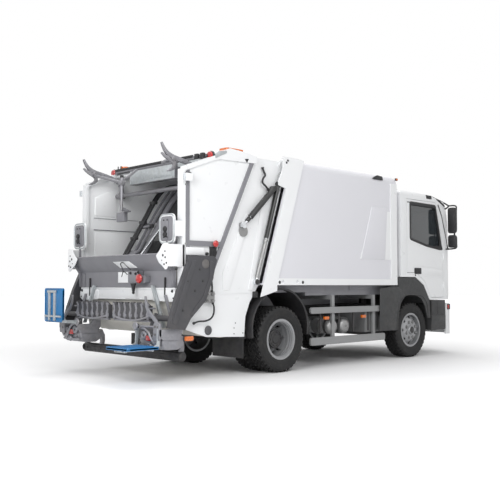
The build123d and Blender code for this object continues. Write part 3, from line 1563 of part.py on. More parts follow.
with BuildPart() as cab_room:
    add(cab_form(cab_wall))
    add(box_block(
        cab_back, tunnel_front + tunnel_sheet, -tunnel_half - tunnel_sheet, tunnel_half + tunnel_sheet,
        cab_low, tunnel_top + tunnel_sheet,
    ).part, mode=Mode.SUBTRACT)
with BuildPart() as cab_shell:
    add(cab_form(0))
    add(cab_room.part, mode=Mode.SUBTRACT)
    add(box_block(
        cab_back - cut_over, tunnel_front, -tunnel_half, tunnel_half, cab_low - cut_over, tunnel_top,
    ).part, mode=Mode.SUBTRACT)
    extrude(screen_sketch(0), amount=cab_corner_radius, both=True, mode=Mode.SUBTRACT)
    with BuildSketch(side(cab_half_width + cut_over)):
        Polygon(*door_points)
        offset(amount=door_gap, kind=Kind.INTERSECTION, mode=Mode.REPLACE)
    extrude(amount=2 * (cab_half_width + cut_over), mode=Mode.SUBTRACT)
    # The tube of the tilting hinge runs across under the front edge
    with BuildSketch(side(tilt_ear_y - tilt_ear_width)):
        Polygon(
            (tilt_x - tilt_tube_diameter / 2, tilt_z),
            (tilt_x, tilt_z),
            (tilt_x, cab_low),
            (tilt_x - tilt_tube_diameter, cab_low),
        )
        with Locations((tilt_x, tilt_z)):
            Circle(tilt_tube_diameter / 2 - tilt_pin_diameter / 2)
    extrude(amount=2 * (tilt_ear_y - tilt_ear_width))
    with BuildSketch(side(tilt_ear_y)):
        with Locations((tilt_x, tilt_z)):
            Circle(tilt_pin_diameter / 2)
    extrude(amount=2 * tilt_ear_y)
    # Outer knuckles and pins of the door hinges
    for outward in (-1, 1):
        add(door_knuckles(outward, 0, door_hinge_third, door_axis_x, door_axis_x + door_plate, 0))
        add(door_knuckles(outward, 1 - door_hinge_third, 1, door_axis_x, door_axis_x + door_plate, 0))
        for hinge_low in door_hinge_lows:
            with BuildSketch(plan(hinge_low)):
                with Locations((door_axis_x, outward * door_axis_y)):
                    Circle(door_pin_radius)
            extrude(amount=door_hinge_height)
save(cab_shell, "cab_shell")

with BuildPart() as windscreen:
    add(cab_pane(glass_thick))
    extrude(screen_sketch(run_gap), amount=cab_corner_radius, both=True, mode=Mode.INTERSECT)
save(windscreen, "windscreen")

for hand, outward in (("left", 1), ("right", -1)):
    door_face_y = max(outward * cab_half_width, outward * (cab_half_width - cab_wall))
    with BuildPart() as door:
        with BuildSketch(side(door_face_y)):
            Polygon(*door_points)
        extrude(amount=cab_wall)
        with BuildSketch(side(door_face_y)) as pane:
            Polygon(*window_points)
            fillet(pane.vertices(), window_radius)
        extrude(amount=cab_wall, mode=Mode.SUBTRACT)
        add(door_knuckles(
            outward, door_hinge_third + door_hinge_play, 1 - door_hinge_third - door_hinge_play,
            door_axis_x - door_plate, door_axis_x, door_pin_radius + pin_gap,
        ))
    save(door, f"cab_door_{hand}")
    with BuildPart() as door_glass:
        with BuildSketch(side(door_face_y - (cab_wall - glass_thick) / 2)) as pane:
            Polygon(*window_points)
            fillet(pane.vertices(), window_radius)
            offset(amount=-run_gap, mode=Mode.REPLACE)
        extrude(amount=glass_thick)
    save(door_glass, f"door_glass_{hand}")

# Cab inside: two seats, and a dashboard with the steering wheel
seat_y = 560
seat_width = 500
seat_rear = 2790
seat_front = 3420
seat_height = 1020
seat_shares = [
    (0.27, 0),
    (0.857, 0),
    (0.905, 0.186),
    (1, 0.294),
    (0.968, 0.343),
    (0.349, 0.304),
    (0.175, 0.863),
    (0.111, 1),
    (0, 0.99),
    (0.016, 0.686),
    (0.175, 0.176),
]
dash_low = 1200
dash_top = 1700
dash_rear = 3900
dash_foot = 80
dash_front = cab_front - cab_wall - run_gap
dash_shares = [
    (0.309, 0),
    (1, 0),
    (1, 0.72),
    (0.893, 0.98),
    (0.481, 1),
    (0.069, 0.8),
    (0, 0.44),
]
seat_floor = cab_low + (cab_roof - cab_low) * cab_shares[0][1] + cab_wall + run_gap
with BuildPart() as seats:
    for outward in (-1, 1):
        with BuildSketch(side(outward * seat_y + seat_width / 2)):
            Polygon(*spread(seat_shares, seat_rear, seat_front, seat_floor, seat_floor + seat_height))
        extrude(amount=seat_width)
save(seats, "cab_seats")

wheel_centre_x = 3720
wheel_centre_z = 1700
wheel_foot_x = 3935
wheel_foot_z = 1490
steering_wheel_radius = 225
steering_grip = 16
with BuildPart() as dashboard:
    dash_half = cab_half_width - cab_corner_radius
    with BuildSketch(side(dash_half)):
        Polygon(*spread(dash_shares, dash_rear, dash_front, dash_low, dash_top))
    extrude(amount=2 * dash_half)
    for outward in (-1, 1):
        add(box_block(
            dash_front - dash_foot, dash_front, outward * seat_y - dash_foot / 2, outward * seat_y + dash_foot / 2,
            cab_low + cab_wall + run_gap, dash_low + dash_foot,
        ).part)
    wheel_centre = Vector(rear_axle_x + wheel_centre_x, seat_y, wheel_centre_z)
    wheel_foot = Vector(rear_axle_x + wheel_foot_x, seat_y, wheel_foot_z)
    wheel_plane = Plane(origin=wheel_centre, z_dir=wheel_centre - wheel_foot)
    with BuildSketch(wheel_plane):
        Circle(steering_wheel_radius + steering_grip)
        Circle(steering_wheel_radius - steering_grip, mode=Mode.SUBTRACT)
        Rectangle(2 * steering_wheel_radius, 2 * steering_grip)
        Circle(4 * steering_grip)
    extrude(amount=steering_grip, both=True)
    with BuildSketch(wheel_plane):
        Circle(2 * steering_grip)
    extrude(amount=-(wheel_centre - wheel_foot).length)
    add(cab_form(cab_wall + run_gap), mode=Mode.INTERSECT)
save(dashboard, "dashboard")

# Mirrors on their arms at the cab's front corners
mirror_rear = 3898
mirror_thick = 72
mirror_inner_y = 1205
mirror_outer_y = 1385
mirror_zs = ((2015, 2425), (1790, 2000))
mirror_arm_diameter = 26
mirror_arm_zs = (2380, 1850)
with BuildPart() as mirrors:
    for low, top in mirror_zs:
        with BuildSketch(cross(mirror_rear)):
            with Locations(((mirror_inner_y + mirror_outer_y) / 2, (low + top) / 2)):
                RectangleRounded(mirror_outer_y - mirror_inner_y, top - low, mirror_thick / 2)
        extrude(amount=mirror_thick)
    post_x = mirror_rear + mirror_thick + mirror_arm_diameter / 4
    with BuildSketch(plan(mirror_arm_zs[1])):
        with Locations((post_x, mirror_inner_y + mirror_arm_diameter)):
            Circle(mirror_arm_diameter / 2)
    extrude(amount=mirror_arm_zs[0] - mirror_arm_zs[1])
    for arm_z in mirror_arm_zs:
        with BuildSketch(side(mirror_inner_y + mirror_arm_diameter)):
            with Locations((post_x, arm_z)):
                Circle(mirror_arm_diameter / 2)
        extrude(amount=mirror_inner_y + mirror_arm_diameter - cab_half_width + cab_corner_radius / 4)
    mirror(about=Plane.XZ)
    add(cab_form(0), mode=Mode.SUBTRACT)
save(mirrors, "mirrors")

# Bumper with its head lamps
bumper_rear = front_reach - bumper_depth
bumper_radius = 290
lamp_inner_y = 560
lamp_width = 270
lamp_low = 540
lamp_height = 160
lamp_thick = 26
with BuildPart() as bumper:
    with BuildSketch(plan(bumper_low)) as bumper_outline:
        with Locations(((bumper_rear + front_reach) / 2, 0)):
            Rectangle(bumper_depth, 2 * cab_half_width)
        fillet(bumper_outline.vertices().group_by(Axis.X)[-1], bumper_radius)
    extrude(amount=bumper_top - bumper_low)
    with BuildSketch(plan(bumper_low)) as bumper_inside:
        with Locations(((bumper_rear + front_reach) / 2 - bumper_wall, 0)):
            Rectangle(bumper_depth, 2 * (cab_half_width - bumper_wall))
        fillet(bumper_inside.vertices().group_by(Axis.X)[-1], bumper_radius - bumper_wall)
    extrude(amount=bumper_top - bumper_low, mode=Mode.SUBTRACT)
    with BuildSketch(cross(beam_front)):
        for outward in (-1, 1):
            with Locations((outward * (lamp_inner_y + lamp_width / 2), lamp_low + lamp_height / 2)):
                Rectangle(lamp_width, lamp_height)
        with Locations((tow_bore_y, tow_bore_z)):
            Circle(tow_bore_diameter)
    extrude(amount=bumper_wall + cut_over, mode=Mode.SUBTRACT)
save(bumper, "front_bumper")

with BuildPart() as head_lamps:
    with BuildSketch(cross(front_reach - lamp_thick)):
        for outward in (-1, 1):
            with Locations((outward * (lamp_inner_y + lamp_width / 2), lamp_low + lamp_height / 2)):
                RectangleRounded(lamp_width - 2 * run_gap, lamp_height - 2 * run_gap, lamp_thick / 2)
    extrude(amount=lamp_thick - run_gap)
save(head_lamps, "head_lamps")

# Entry steps
step_pocket_zs = ((470, 640), (700, 860))
step_wall = 30
step_arm_x = 3700
step_arm_width = 70
with BuildPart() as entry_steps:
    with BuildSketch(side(cab_half_width)):
        with Locations(((step_block_rear + step_block_front) / 2, (step_block_low + step_block_top) / 2)):
            Rectangle(step_block_front - step_block_rear, step_block_top - step_block_low)
    extrude(amount=step_block_depth)
    with BuildSketch(side(cab_half_width)):
        for low, top in step_pocket_zs:
            with Locations(((step_block_rear + step_block_front) / 2, (low + top) / 2)):
                RectangleRounded(step_block_front - step_block_rear - 2 * step_wall, top - low, step_wall)
    extrude(amount=step_block_depth - step_wall, mode=Mode.SUBTRACT)
    add(box_block(
        step_arm_x, step_arm_x + step_arm_width, rail_outer_y + run_gap, cab_half_width - step_block_depth + step_wall / 2,
        rail_low, rail_low + step_arm_width,
    ).part)
    mirror(about=Plane.XZ)
save(entry_steps, "entry_steps")

# Front wheel arches: an outer ring with a panel behind the wheel, and a sheet over the wheel
arch_rear = 2119
arch_front = 3510
arch_low = 450
arch_top = 1262
arch_ring_thick = 17
arch_inner_y = 600
arch_arm_x = 2490
arch_arm_thick = 12
arch_arm_height = 90
arch_ring_shares = [
    (0, 0),
    (0.334, 0),
    (0.339, 0.209),
    (0.375, 0.431),
    (0.418, 0.554),
    (0.511, 0.659),
    (0.698, 0.659),
    (0.813, 0.591),
    (0.892, 0.431),
    (0.939, 0.196),
    (1, 0.196),
    (0.985, 0.554),
    (0.862, 0.847),
    (0.695, 1),
    (0.355, 1),
    (0.355, 0.739),
    (0.231, 0.677),
    (0.13, 0.554),
    (0.058, 0.431),
    (0, 0.234),
]
arch_sheet_shares = [
    (0.263, 0.03),
    (0.274, 0.03),
    (0.297, 0.6),
    (0.366, 0.708),
    (0.7735, 0.708),
    (0.928, 0.489),
    (0.935, 0.507),
    (0.777, 0.727),
    (0.36, 0.727),
    (0.284, 0.61),
]
with BuildPart() as front_arches:
    ring_y = cab_half_width - move_gap
    with BuildSketch(side(ring_y)):
        Polygon(*spread(arch_ring_shares, arch_rear, arch_front, arch_low, arch_top))
    extrude(amount=arch_ring_thick)
    with BuildSketch(side(ring_y - arch_ring_thick)):
        Polygon(*spread(arch_sheet_shares, arch_rear, arch_front, arch_low, arch_top))
    extrude(amount=ring_y - arch_ring_thick - arch_inner_y)
    add(box_block(
        arch_arm_x, arch_arm_x + arch_arm_thick, rail_outer_y + run_gap, arch_inner_y + arch_arm_thick,
        rail_low, rail_low + arch_arm_height,
    ).part)
    mirror(about=Plane.XZ)
save(front_arches, "front_arches")
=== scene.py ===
import json
import math

import bmesh
import bpy
from mathutils import Matrix, Vector


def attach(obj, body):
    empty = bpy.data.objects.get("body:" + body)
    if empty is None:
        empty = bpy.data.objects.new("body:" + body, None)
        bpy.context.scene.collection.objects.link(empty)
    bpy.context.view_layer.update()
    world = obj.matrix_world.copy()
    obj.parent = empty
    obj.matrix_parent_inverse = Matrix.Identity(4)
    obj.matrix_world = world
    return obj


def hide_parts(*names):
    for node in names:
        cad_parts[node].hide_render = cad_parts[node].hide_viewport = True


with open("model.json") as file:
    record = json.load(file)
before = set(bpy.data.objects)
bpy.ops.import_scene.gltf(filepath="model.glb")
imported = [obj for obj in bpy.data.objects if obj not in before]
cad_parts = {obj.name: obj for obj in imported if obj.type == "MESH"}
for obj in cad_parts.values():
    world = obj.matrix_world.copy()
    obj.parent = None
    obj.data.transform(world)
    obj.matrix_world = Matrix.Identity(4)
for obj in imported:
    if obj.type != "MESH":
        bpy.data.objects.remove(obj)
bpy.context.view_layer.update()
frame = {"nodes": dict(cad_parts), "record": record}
nodes = frame["nodes"]
scene = bpy.context.scene
scene.view_settings.view_transform = "Standard"

# The CAD source counts x from the rear axle; the frame's origin is the middle of the box.
AXLE_X = -0.9425
RIGHT = -1
LEFT = 1

# Camera
CAMERA_AT = (-8.1325, -7.964, 1.146)
CAMERA_YAW = 45.98
CAMERA_PITCH = 2.658
CAMERA_LENS = 54.18
camera_data = bpy.data.cameras.new("camera")
camera_data.sensor_width = 36.0
camera_data.lens = CAMERA_LENS
camera_data.clip_end = 200.0
camera = bpy.data.objects.new("camera", camera_data)
camera.location = CAMERA_AT
camera.rotation_euler = (math.radians(90 + CAMERA_PITCH), 0, math.radians(CAMERA_YAW - 90))
scene.collection.objects.link(camera)
scene.camera = camera


# Materials
def srgb(red, green, blue):
    """A colour read as screen values, as the shader's linear colour."""
    linear = []
    for value in (red, green, blue):
        linear.append(value / 12.92 if value <= 0.04045 else ((value + 0.055) / 1.055) ** 2.4)
    return (*linear, 1.0)


def shade(colour, factor, lift=0.0):
    """A paler or darker colour of the same hue."""
    return tuple(min(1.0, c * factor + lift) for c in colour[:3]) + (1.0,)


DUST = srgb(0.56, 0.53, 0.49)


class Nodes:
    """Builds one material's nodes with short calls."""

    def __init__(self, name):
        self.material = bpy.data.materials.new(name)
        self.material.use_nodes = True
        self.tree = self.material.node_tree
        self.shader = self.tree.nodes["Principled BSDF"]
        self.output = self.tree.nodes["Material Output"]
        self.coordinates = self.tree.nodes.new("ShaderNodeTexCoord").outputs["Object"]

    def new(self, kind, inputs=None, **settings):
        node = self.tree.nodes.new(kind)
        for key, value in settings.items():
            setattr(node, key, value)
        for key, value in (inputs or {}).items():
            if isinstance(value, bpy.types.NodeSocket):
                self.tree.links.new(value, node.inputs[key])
            else:
                node.inputs[key].default_value = value
        return node

    def noise(self, scale, detail=3.0, rough=0.5, stretch=None):
        where = self.coordinates
        if stretch:
            where = self.new("ShaderNodeMapping", {"Vector": where, "Scale": stretch}).outputs[0]
        return self.new("ShaderNodeTexNoise", {"Vector": where, "Scale": scale, "Detail": detail,
                                               "Roughness": rough}).outputs["Fac"]

    def cells(self, scale, feature="F1"):
        return self.new("ShaderNodeTexVoronoi", {"Vector": self.coordinates, "Scale": scale}, feature=feature)

    def ramp(self, factor, low, high, to_low=0.0, to_high=1.0):
        return self.new("ShaderNodeMapRange", {"Value": factor, "From Min": low, "From Max": high,
                                               "To Min": to_low, "To Max": to_high}).outputs[0]

    def mix(self, factor, first, second, blend="MIX"):
        node = self.new("ShaderNodeMix", data_type="RGBA", blend_type=blend)
        for index, value in ((0, factor), (6, first), (7, second)):
            if isinstance(value, bpy.types.NodeSocket):
                self.tree.links.new(value, node.inputs[index])
            else:
                node.inputs[index].default_value = value
        return node.outputs[2]

    def math(self, operation, first, second):
        return self.new("ShaderNodeMath", {0: first, 1: second}, operation=operation).outputs[0]

    def dusty(self, base, mask, amount):
        return self.mix(self.math("MULTIPLY", mask, amount), base, DUST)

    def rough(self, factor, low, high, from_low=0.3, from_high=0.7):
        self.link(self.ramp(factor, from_low, from_high, low, high), "Roughness")

    def height(self):
        return self.new("ShaderNodeSeparateXYZ", {0: self.coordinates}).outputs[2]

    def bump(self, height, strength, distance):
        node = self.new("ShaderNodeBump", {"Height": height, "Strength": strength, "Distance": distance})
        self.link(node.outputs[0], "Normal")

    def link(self, socket, name):
        self.tree.links.new(socket, self.shader.inputs[name])

    def set(self, **values):
        for name, value in values.items():
            self.shader.inputs[name.replace("_", " ")].default_value = value


def painted(name, colour, rough=0.32, coat=0.35, spread=0.03, dust=0.0, bump=0.04, metal=0.0):
    """Sprayed paint: slow tone changes, orange peel, and road dust that thins out with height."""
    m = Nodes(name)
    tone = m.ramp(m.noise(1.7, 4.0), 0.3, 0.7)
    darker = shade(colour, 1 - spread * 2)
    base = m.mix(tone, darker, colour)
    if dust:
        low = m.ramp(m.height(), 0.25, 1.25, 1.0, 0.0)
        patchy = m.ramp(m.noise(6.0, 6.0, 0.65), 0.35, 0.75)
        base = m.dusty(base, m.math("MULTIPLY", low, patchy), dust)
    m.link(base, "Base Color")
    m.rough(m.noise(9.0, 3.0), rough * 0.85, rough * 1.2)
    m.bump(m.noise(140.0, 2.0), bump, 0.001)
    m.set(Metallic=metal, Coat_Weight=coat, Coat_Roughness=0.12)
    return m.material


def zinc(name, colour, rough=0.42, dust=0.1):
    """Hot-dip galvanised steel with its spangle."""
    m = Nodes(name)
    cell = m.cells(34.0)
    grain = m.ramp(cell.outputs["Color"], 0.0, 1.0)
    pale = shade(colour, 1.12)
    dull = shade(colour, 0.86)
    base = m.mix(grain, dull, pale)
    base = m.dusty(base, m.ramp(m.noise(5.0, 5.0), 0.45, 0.75), dust)
    m.link(base, "Base Color")
    m.rough(grain, rough * 0.8, rough * 1.25, 0.0, 1.0)
    m.bump(m.noise(160.0, 3.0), 0.08, 0.002)
    m.set(Metallic=0.55)
    return m.material


def bare(name, colour, rough=0.35, metal=0.85, grain=(1.0, 1.0, 30.0), bump=0.06):
    """Bare steel, brushed or scoured along one direction."""
    m = Nodes(name)
    line = m.noise(18.0, 4.0, 0.6, grain)
    pale = shade(colour, 1.15)
    dull = shade(colour, 0.78)
    m.link(m.mix(m.ramp(line, 0.3, 0.7), dull, pale), "Base Color")
    m.rough(m.noise(7.0, 4.0), rough * 0.75, rough * 1.3)
    m.bump(line, bump, 0.002)
    m.set(Metallic=metal)
    return m.material


def cast(name, colour, rough=0.62, dust=0.35):
    """Cast or forged iron under thin paint, rough and a little dusty."""
    m = Nodes(name)
    patch = m.ramp(m.noise(12.0, 6.0, 0.7), 0.35, 0.7)
    pale = shade(colour, 1.5, 0.01)
    base = m.mix(patch, colour, pale)
    base = m.dusty(base, m.ramp(m.noise(4.0, 6.0), 0.4, 0.8), dust)
    m.link(base, "Base Color")
    m.rough(patch, rough, rough * 1.2, 0.0, 1.0)
    m.bump(m.noise(150.0, 6.0, 0.7), 0.35, 0.004)
    m.set(Metallic=0.15)
    return m.material


def moulded(name, colour, rough=0.55, grain=260.0, bump=0.25, dust=0.1):
    """Moulded plastic with its leather grain."""
    m = Nodes(name)
    pale = shade(colour, 1.35, 0.004)
    base = m.mix(m.ramp(m.noise(3.0, 5.0), 0.3, 0.75), colour, pale)
    low = m.ramp(m.height(), 0.2, 1.3, 1.0, 0.15)
    base = m.dusty(base, m.math("MULTIPLY", m.ramp(m.noise(8.0, 6.0), 0.4, 0.8), low), dust)
    m.link(base, "Base Color")
    m.rough(m.noise(20.0, 3.0), rough * 0.85, rough * 1.15)
    m.bump(m.cells(grain, "SMOOTH_F1").outputs["Distance"], bump, 0.001)
    return m.material


def rubber(name, colour, rough=0.72, dust=0.3):
    """Tyre rubber: a fine bloom, dust in the hollows and small cracks of tone."""
    m = Nodes(name)
    bloom = m.ramp(m.noise(5.0, 6.0, 0.65), 0.3, 0.75)
    pale = shade(colour, 1.8, 0.003)
    base = m.mix(bloom, colour, pale)
    base = m.dusty(base, m.ramp(m.noise(14.0, 6.0, 0.7), 0.5, 0.85), dust)
    m.link(base, "Base Color")
    m.rough(bloom, rough * 0.9, rough * 1.15, 0.0, 1.0)
    m.bump(m.noise(240.0, 5.0, 0.6), 0.22, 0.0015)
    return m.material


def lens(name, colour, rough=0.12, cells=95.0, glow=0.0):
    """A lamp's moulded lens: prisms under a clear gloss."""
    m = Nodes(name)
    prism = m.cells(cells, "F1").outputs["Distance"]
    pale = shade(colour, 1.25, 0.02)
    dull = shade(colour, 0.7)
    m.link(m.mix(m.ramp(prism, 0.0, 0.6), pale, dull), "Base Color")
    m.rough(m.noise(30.0), rough * 0.8, rough * 1.3)
    m.bump(prism, 0.3, 0.002)
    m.set(Coat_Weight=0.8, Coat_Roughness=0.05, Specular_IOR_Level=0.6)
    if glow:
        m.set(Emission_Color=colour, Emission_Strength=glow)
    return m.material


def tinted(name, colour, alpha=0.72):
    """Tinted window glass, which lets some of the cab show."""
    m = Nodes(name)
    film = m.ramp(m.noise(2.0, 3.0), 0.3, 0.7)
    deeper = shade(colour, 0.75)
    m.link(m.mix(film, deeper, colour), "Base Color")
    m.rough(m.noise(6.0, 2.0), 0.03, 0.07)
    m.set(Alpha=alpha, IOR=1.5, Specular_IOR_Level=0.6, Coat_Weight=1.0, Coat_Roughness=0.02)
    return m.material


def woven(name, colour, rough=0.9):
    """Seat cloth."""
    m = Nodes(name)
    threads = {"Vector": m.coordinates, "Scale": 160.0}
    warp, weft = (m.new("ShaderNodeTexWave", threads, bands_direction=way).outputs["Fac"] for way in "ZY")
    weave = m.math("MULTIPLY", warp, weft)
    pale = shade(colour, 1.6, 0.01)
    m.link(m.mix(weave, colour, pale), "Base Color")
    m.rough(m.noise(8.0), rough * 0.9, 1.0)
    m.bump(weave, 0.3, 0.001)
    m.set(Sheen_Weight=0.3)
    return m.material


WHITE = srgb(0.93, 0.935, 0.94)
finish = {
    "white_paint": painted("white_paint", WHITE, 0.32, 0.3, 0.006, bump=0.01),
    "frame_grey": painted("frame_grey", srgb(0.51, 0.51, 0.53), 0.42, 0.1, 0.06, 0.15),
    "arm_grey": painted("arm_grey", srgb(0.265, 0.265, 0.28), 0.45, 0.08, 0.08, 0.2),
    "chassis_grey": painted("chassis_grey", srgb(0.17, 0.17, 0.18), 0.5, 0.05, 0.12, 0.15),
    "galvanised": zinc("galvanised", srgb(0.72, 0.74, 0.75)),
    "steel": bare("steel", srgb(0.60, 0.60, 0.60), 0.42, 0.6),
    "cast_grey": cast("cast_grey", srgb(0.30, 0.30, 0.31)),
    "cylinder_black": painted("cylinder_black", srgb(0.065, 0.065, 0.07), 0.32, 0.4, 0.1, 0.1),
    "rod_chrome": bare("rod_chrome", srgb(0.86, 0.87, 0.88), 0.1, 1.0, (1.0, 1.0, 6.0), 0.01),
    "tyre": rubber("tyre", srgb(0.045, 0.045, 0.05), dust=0.08),
    "rim_silver": painted("rim_silver", srgb(0.62, 0.625, 0.635), 0.36, 0.25, 0.06, 0.12, 0.04, 0.35),
    "black_plastic": moulded("black_plastic", srgb(0.11, 0.11, 0.12)),
    "dark_plastic": moulded("dark_plastic", srgb(0.19, 0.193, 0.198)),
    "step_blue": painted("step_blue", srgb(0.0, 0.44, 0.68), 0.4, 0.2, 0.08, 0.12),
    "window_glass": tinted("window_glass", srgb(0.17, 0.20, 0.22)),
    "lamp_clear": lens("lamp_clear", srgb(0.86, 0.88, 0.90)),
    "amber_plastic": lens("amber_plastic", srgb(0.93, 0.46, 0.10)),
    "red_plastic": lens("red_plastic", srgb(0.78, 0.09, 0.08)),
    "seat_fabric": woven("seat_fabric", srgb(0.24, 0.25, 0.27)),
}
slot_of = {row["node"]: row["material_slot"] for row in frame["record"]["subparts"]}
for node_name, node in nodes.items():
    node.data.materials.clear()
    node.data.materials.append(finish[slot_of[node_name]])
DULL_ZINC = zinc("dull_zinc", srgb(0.57, 0.57, 0.59), 0.5, 0.25)
SPECIAL = {
    # The side panel gets a darker copy of the white paint, which is painted shade.
    "body_shell": painted("white_paint_painted_shade", srgb(0.87, 0.87, 0.89), 0.34, 0.3, 0.006, bump=0.01),
    "rear_guard": zinc("cast_zinc", srgb(0.52, 0.53, 0.54), 0.5, 0.25),
    "hopper_floor": painted("belly_paint", srgb(0.83, 0.82, 0.79), 0.45, 0.1, 0.05, 0.2),
    "side_guards": painted("guard_rail_grey", srgb(0.58, 0.585, 0.59), 0.4, 0.1, 0.05, 0.2, metal=0.3),
    "side_tanks": painted("tank_grey", srgb(0.42, 0.425, 0.43), 0.45, 0.1, 0.08, 0.2),
}
for node_name, material in SPECIAL.items():
    nodes[node_name].data.materials[0] = material


# Stage and light
FLOOR_HALF = 60.0
FLOOR_NEAR = 2.2
FLOOR_FAR = 11.0
FLOOR_GLOW_NEAR = 0.0
FLOOR_GLOW_FAR = 0.75
floor_nodes = Nodes("floor")
path = floor_nodes.new("ShaderNodeLightPath")
floor_nodes.link(floor_nodes.mix(floor_nodes.noise(0.6, 3.0), srgb(0.95, 0.95, 0.955),
                                 srgb(0.97, 0.97, 0.97)), "Base Color")
floor_nodes.set(Roughness=0.9)
glow = floor_nodes.new("ShaderNodeEmission", {"Color": (1, 1, 1, 1)})
away = floor_nodes.new("ShaderNodeVectorMath", {0: floor_nodes.coordinates},
                       operation="LENGTH").outputs["Value"]
lift = floor_nodes.ramp(away, FLOOR_NEAR, FLOOR_FAR, FLOOR_GLOW_NEAR, FLOOR_GLOW_FAR)
floor_nodes.tree.links.new(floor_nodes.math("MULTIPLY", path.outputs["Is Camera Ray"], lift),
                           glow.inputs["Strength"])
both = floor_nodes.new("ShaderNodeAddShader")
floor_nodes.tree.links.new(floor_nodes.shader.outputs[0], both.inputs[0])
floor_nodes.tree.links.new(glow.outputs[0], both.inputs[1])
floor_nodes.tree.links.new(both.outputs[0], floor_nodes.output.inputs["Surface"])
floor_mesh = bpy.data.meshes.new("floor")
floor_mesh.from_pydata([(-FLOOR_HALF, -FLOOR_HALF, 0), (FLOOR_HALF, -FLOOR_HALF, 0),
                        (FLOOR_HALF, FLOOR_HALF, 0), (-FLOOR_HALF, FLOOR_HALF, 0)], [], [(0, 1, 2, 3)])
floor_mesh.materials.append(floor_nodes.material)
floor = bpy.data.objects.new("floor", floor_mesh)
scene.collection.objects.link(floor)

WORLD_LIGHT = 0.38
world = bpy.data.worlds.new("studio")
scene.world = world
world.use_nodes = True
sky = world.node_tree
background = sky.nodes["Background"]
background.inputs["Color"].default_value = (1, 1, 1, 1)
rays = sky.nodes.new("ShaderNodeLightPath")
seen = sky.nodes.new("ShaderNodeMath")
seen.operation = "MAXIMUM"
sky.links.new(rays.outputs["Is Camera Ray"], seen.inputs[0])
sky.links.new(rays.outputs["Is Transmission Ray"], seen.inputs[1])
shiny = sky.nodes.new("ShaderNodeMath")
shiny.operation = "MAXIMUM"
sky.links.new(seen.outputs[0], shiny.inputs[0])
sky.links.new(rays.outputs["Is Glossy Ray"], shiny.inputs[1])
level = sky.nodes.new("ShaderNodeMapRange")
level.inputs["To Min"].default_value = WORLD_LIGHT
level.inputs["To Max"].default_value = 1.0
sky.links.new(shiny.outputs[0], level.inputs["Value"])
sky.links.new(level.outputs[0], background.inputs["Strength"])

LAMPS = (
    # name, at, aimed at, width, height, power
    ("key", (-3.0, -9.0, 8.0), (0.3, 0.0, 1.2), 6.0, 5.0, 390.0),
    ("top", (0.5, 1.0, 9.0), (0.3, 0.0, 1.0), 9.0, 6.0, 410.0),
    ("rear", (-7.6, -3.4, 3.4), (-2.6, -0.2, 1.5), 3.5, 3.0, 250.0),
)
for name, at, aim, width, height, power in LAMPS:
    light = bpy.data.lights.new(name, "AREA")
    light.shape = "RECTANGLE"
    light.size = width
    light.size_y = height
    light.energy = power
    lamp = bpy.data.objects.new(name, light)
    lamp.location = at
    lamp.rotation_euler = (Vector(aim) - Vector(at)).to_track_quat("-Z", "Y").to_euler()
    scene.collection.objects.link(lamp)


# Shape helpers
SHARP = math.radians(33)


def rounded(points, radius, steps=4):
    """A closed outline with its corners rounded by an arc-like curve."""
    outline = []
    count = len(points)
    for index in range(count):
        before, corner, after = (Vector(points[(index + k) % count]) for k in (-1, 0, 1))
        back = before - corner
        ahead = after - corner
        reach = min(radius, back.length / 2.01, ahead.length / 2.01)
        start = corner + back.normalized() * reach
        end = corner + ahead.normalized() * reach
        for step in range(steps + 1):
            t = step / steps
            outline.append(tuple(start * (1 - t) ** 2 + corner * 2 * t * (1 - t) + end * t ** 2))
    return outline


def smooth_path(points, steps=8):
    """Points on one smooth curve through the given ones."""
    given = [Vector(p) for p in points]
    chain = [2 * given[0] - given[1], *given, 2 * given[-1] - given[-2]]
    path = []
    for index in range(1, len(chain) - 2):
        p0, p1, p2, p3 = chain[index - 1:index + 3]
        for step in range(steps):
            t = step / steps
            path.append(0.5 * ((2 * p1) + (p2 - p0) * t + (2 * p0 - 5 * p1 + 4 * p2 - p3) * t ** 2
                               + (3 * p1 - p0 - 3 * p2 + p3) * t ** 3))
    path.append(given[-1])
    return path


def box(a_low, a_high, b_low, b_high):
    """A rectangle's corners, or a ring's section for the lathe."""
    return [(a_low, b_low), (a_high, b_low), (a_high, b_high), (a_low, b_high)]


def pad(a_low, a_high, b_low, b_high, radius):
    """A rectangle with rounded corners."""
    return rounded(box(a_low, a_high, b_low, b_high), radius)


def laid(axis, level, a, b):
    """A point at a level along one axis, with a and b in the two other directions."""
    return {"x": (level, a, b), "y": (a, level, b), "z": (a, b, level)}[axis]


def as_object(form, name, body, material):
    """An object made of a mesh in work; it rides on a body and has a material slot."""
    mesh = bpy.data.meshes.new(name)
    form.to_mesh(mesh)
    form.free()
    mesh.polygons.foreach_set("use_smooth", [True] * len(mesh.polygons))
    mesh.materials.append(material)
    made = bpy.data.objects.new(name, mesh)
    scene.collection.objects.link(made)
    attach(made, body)
    return made


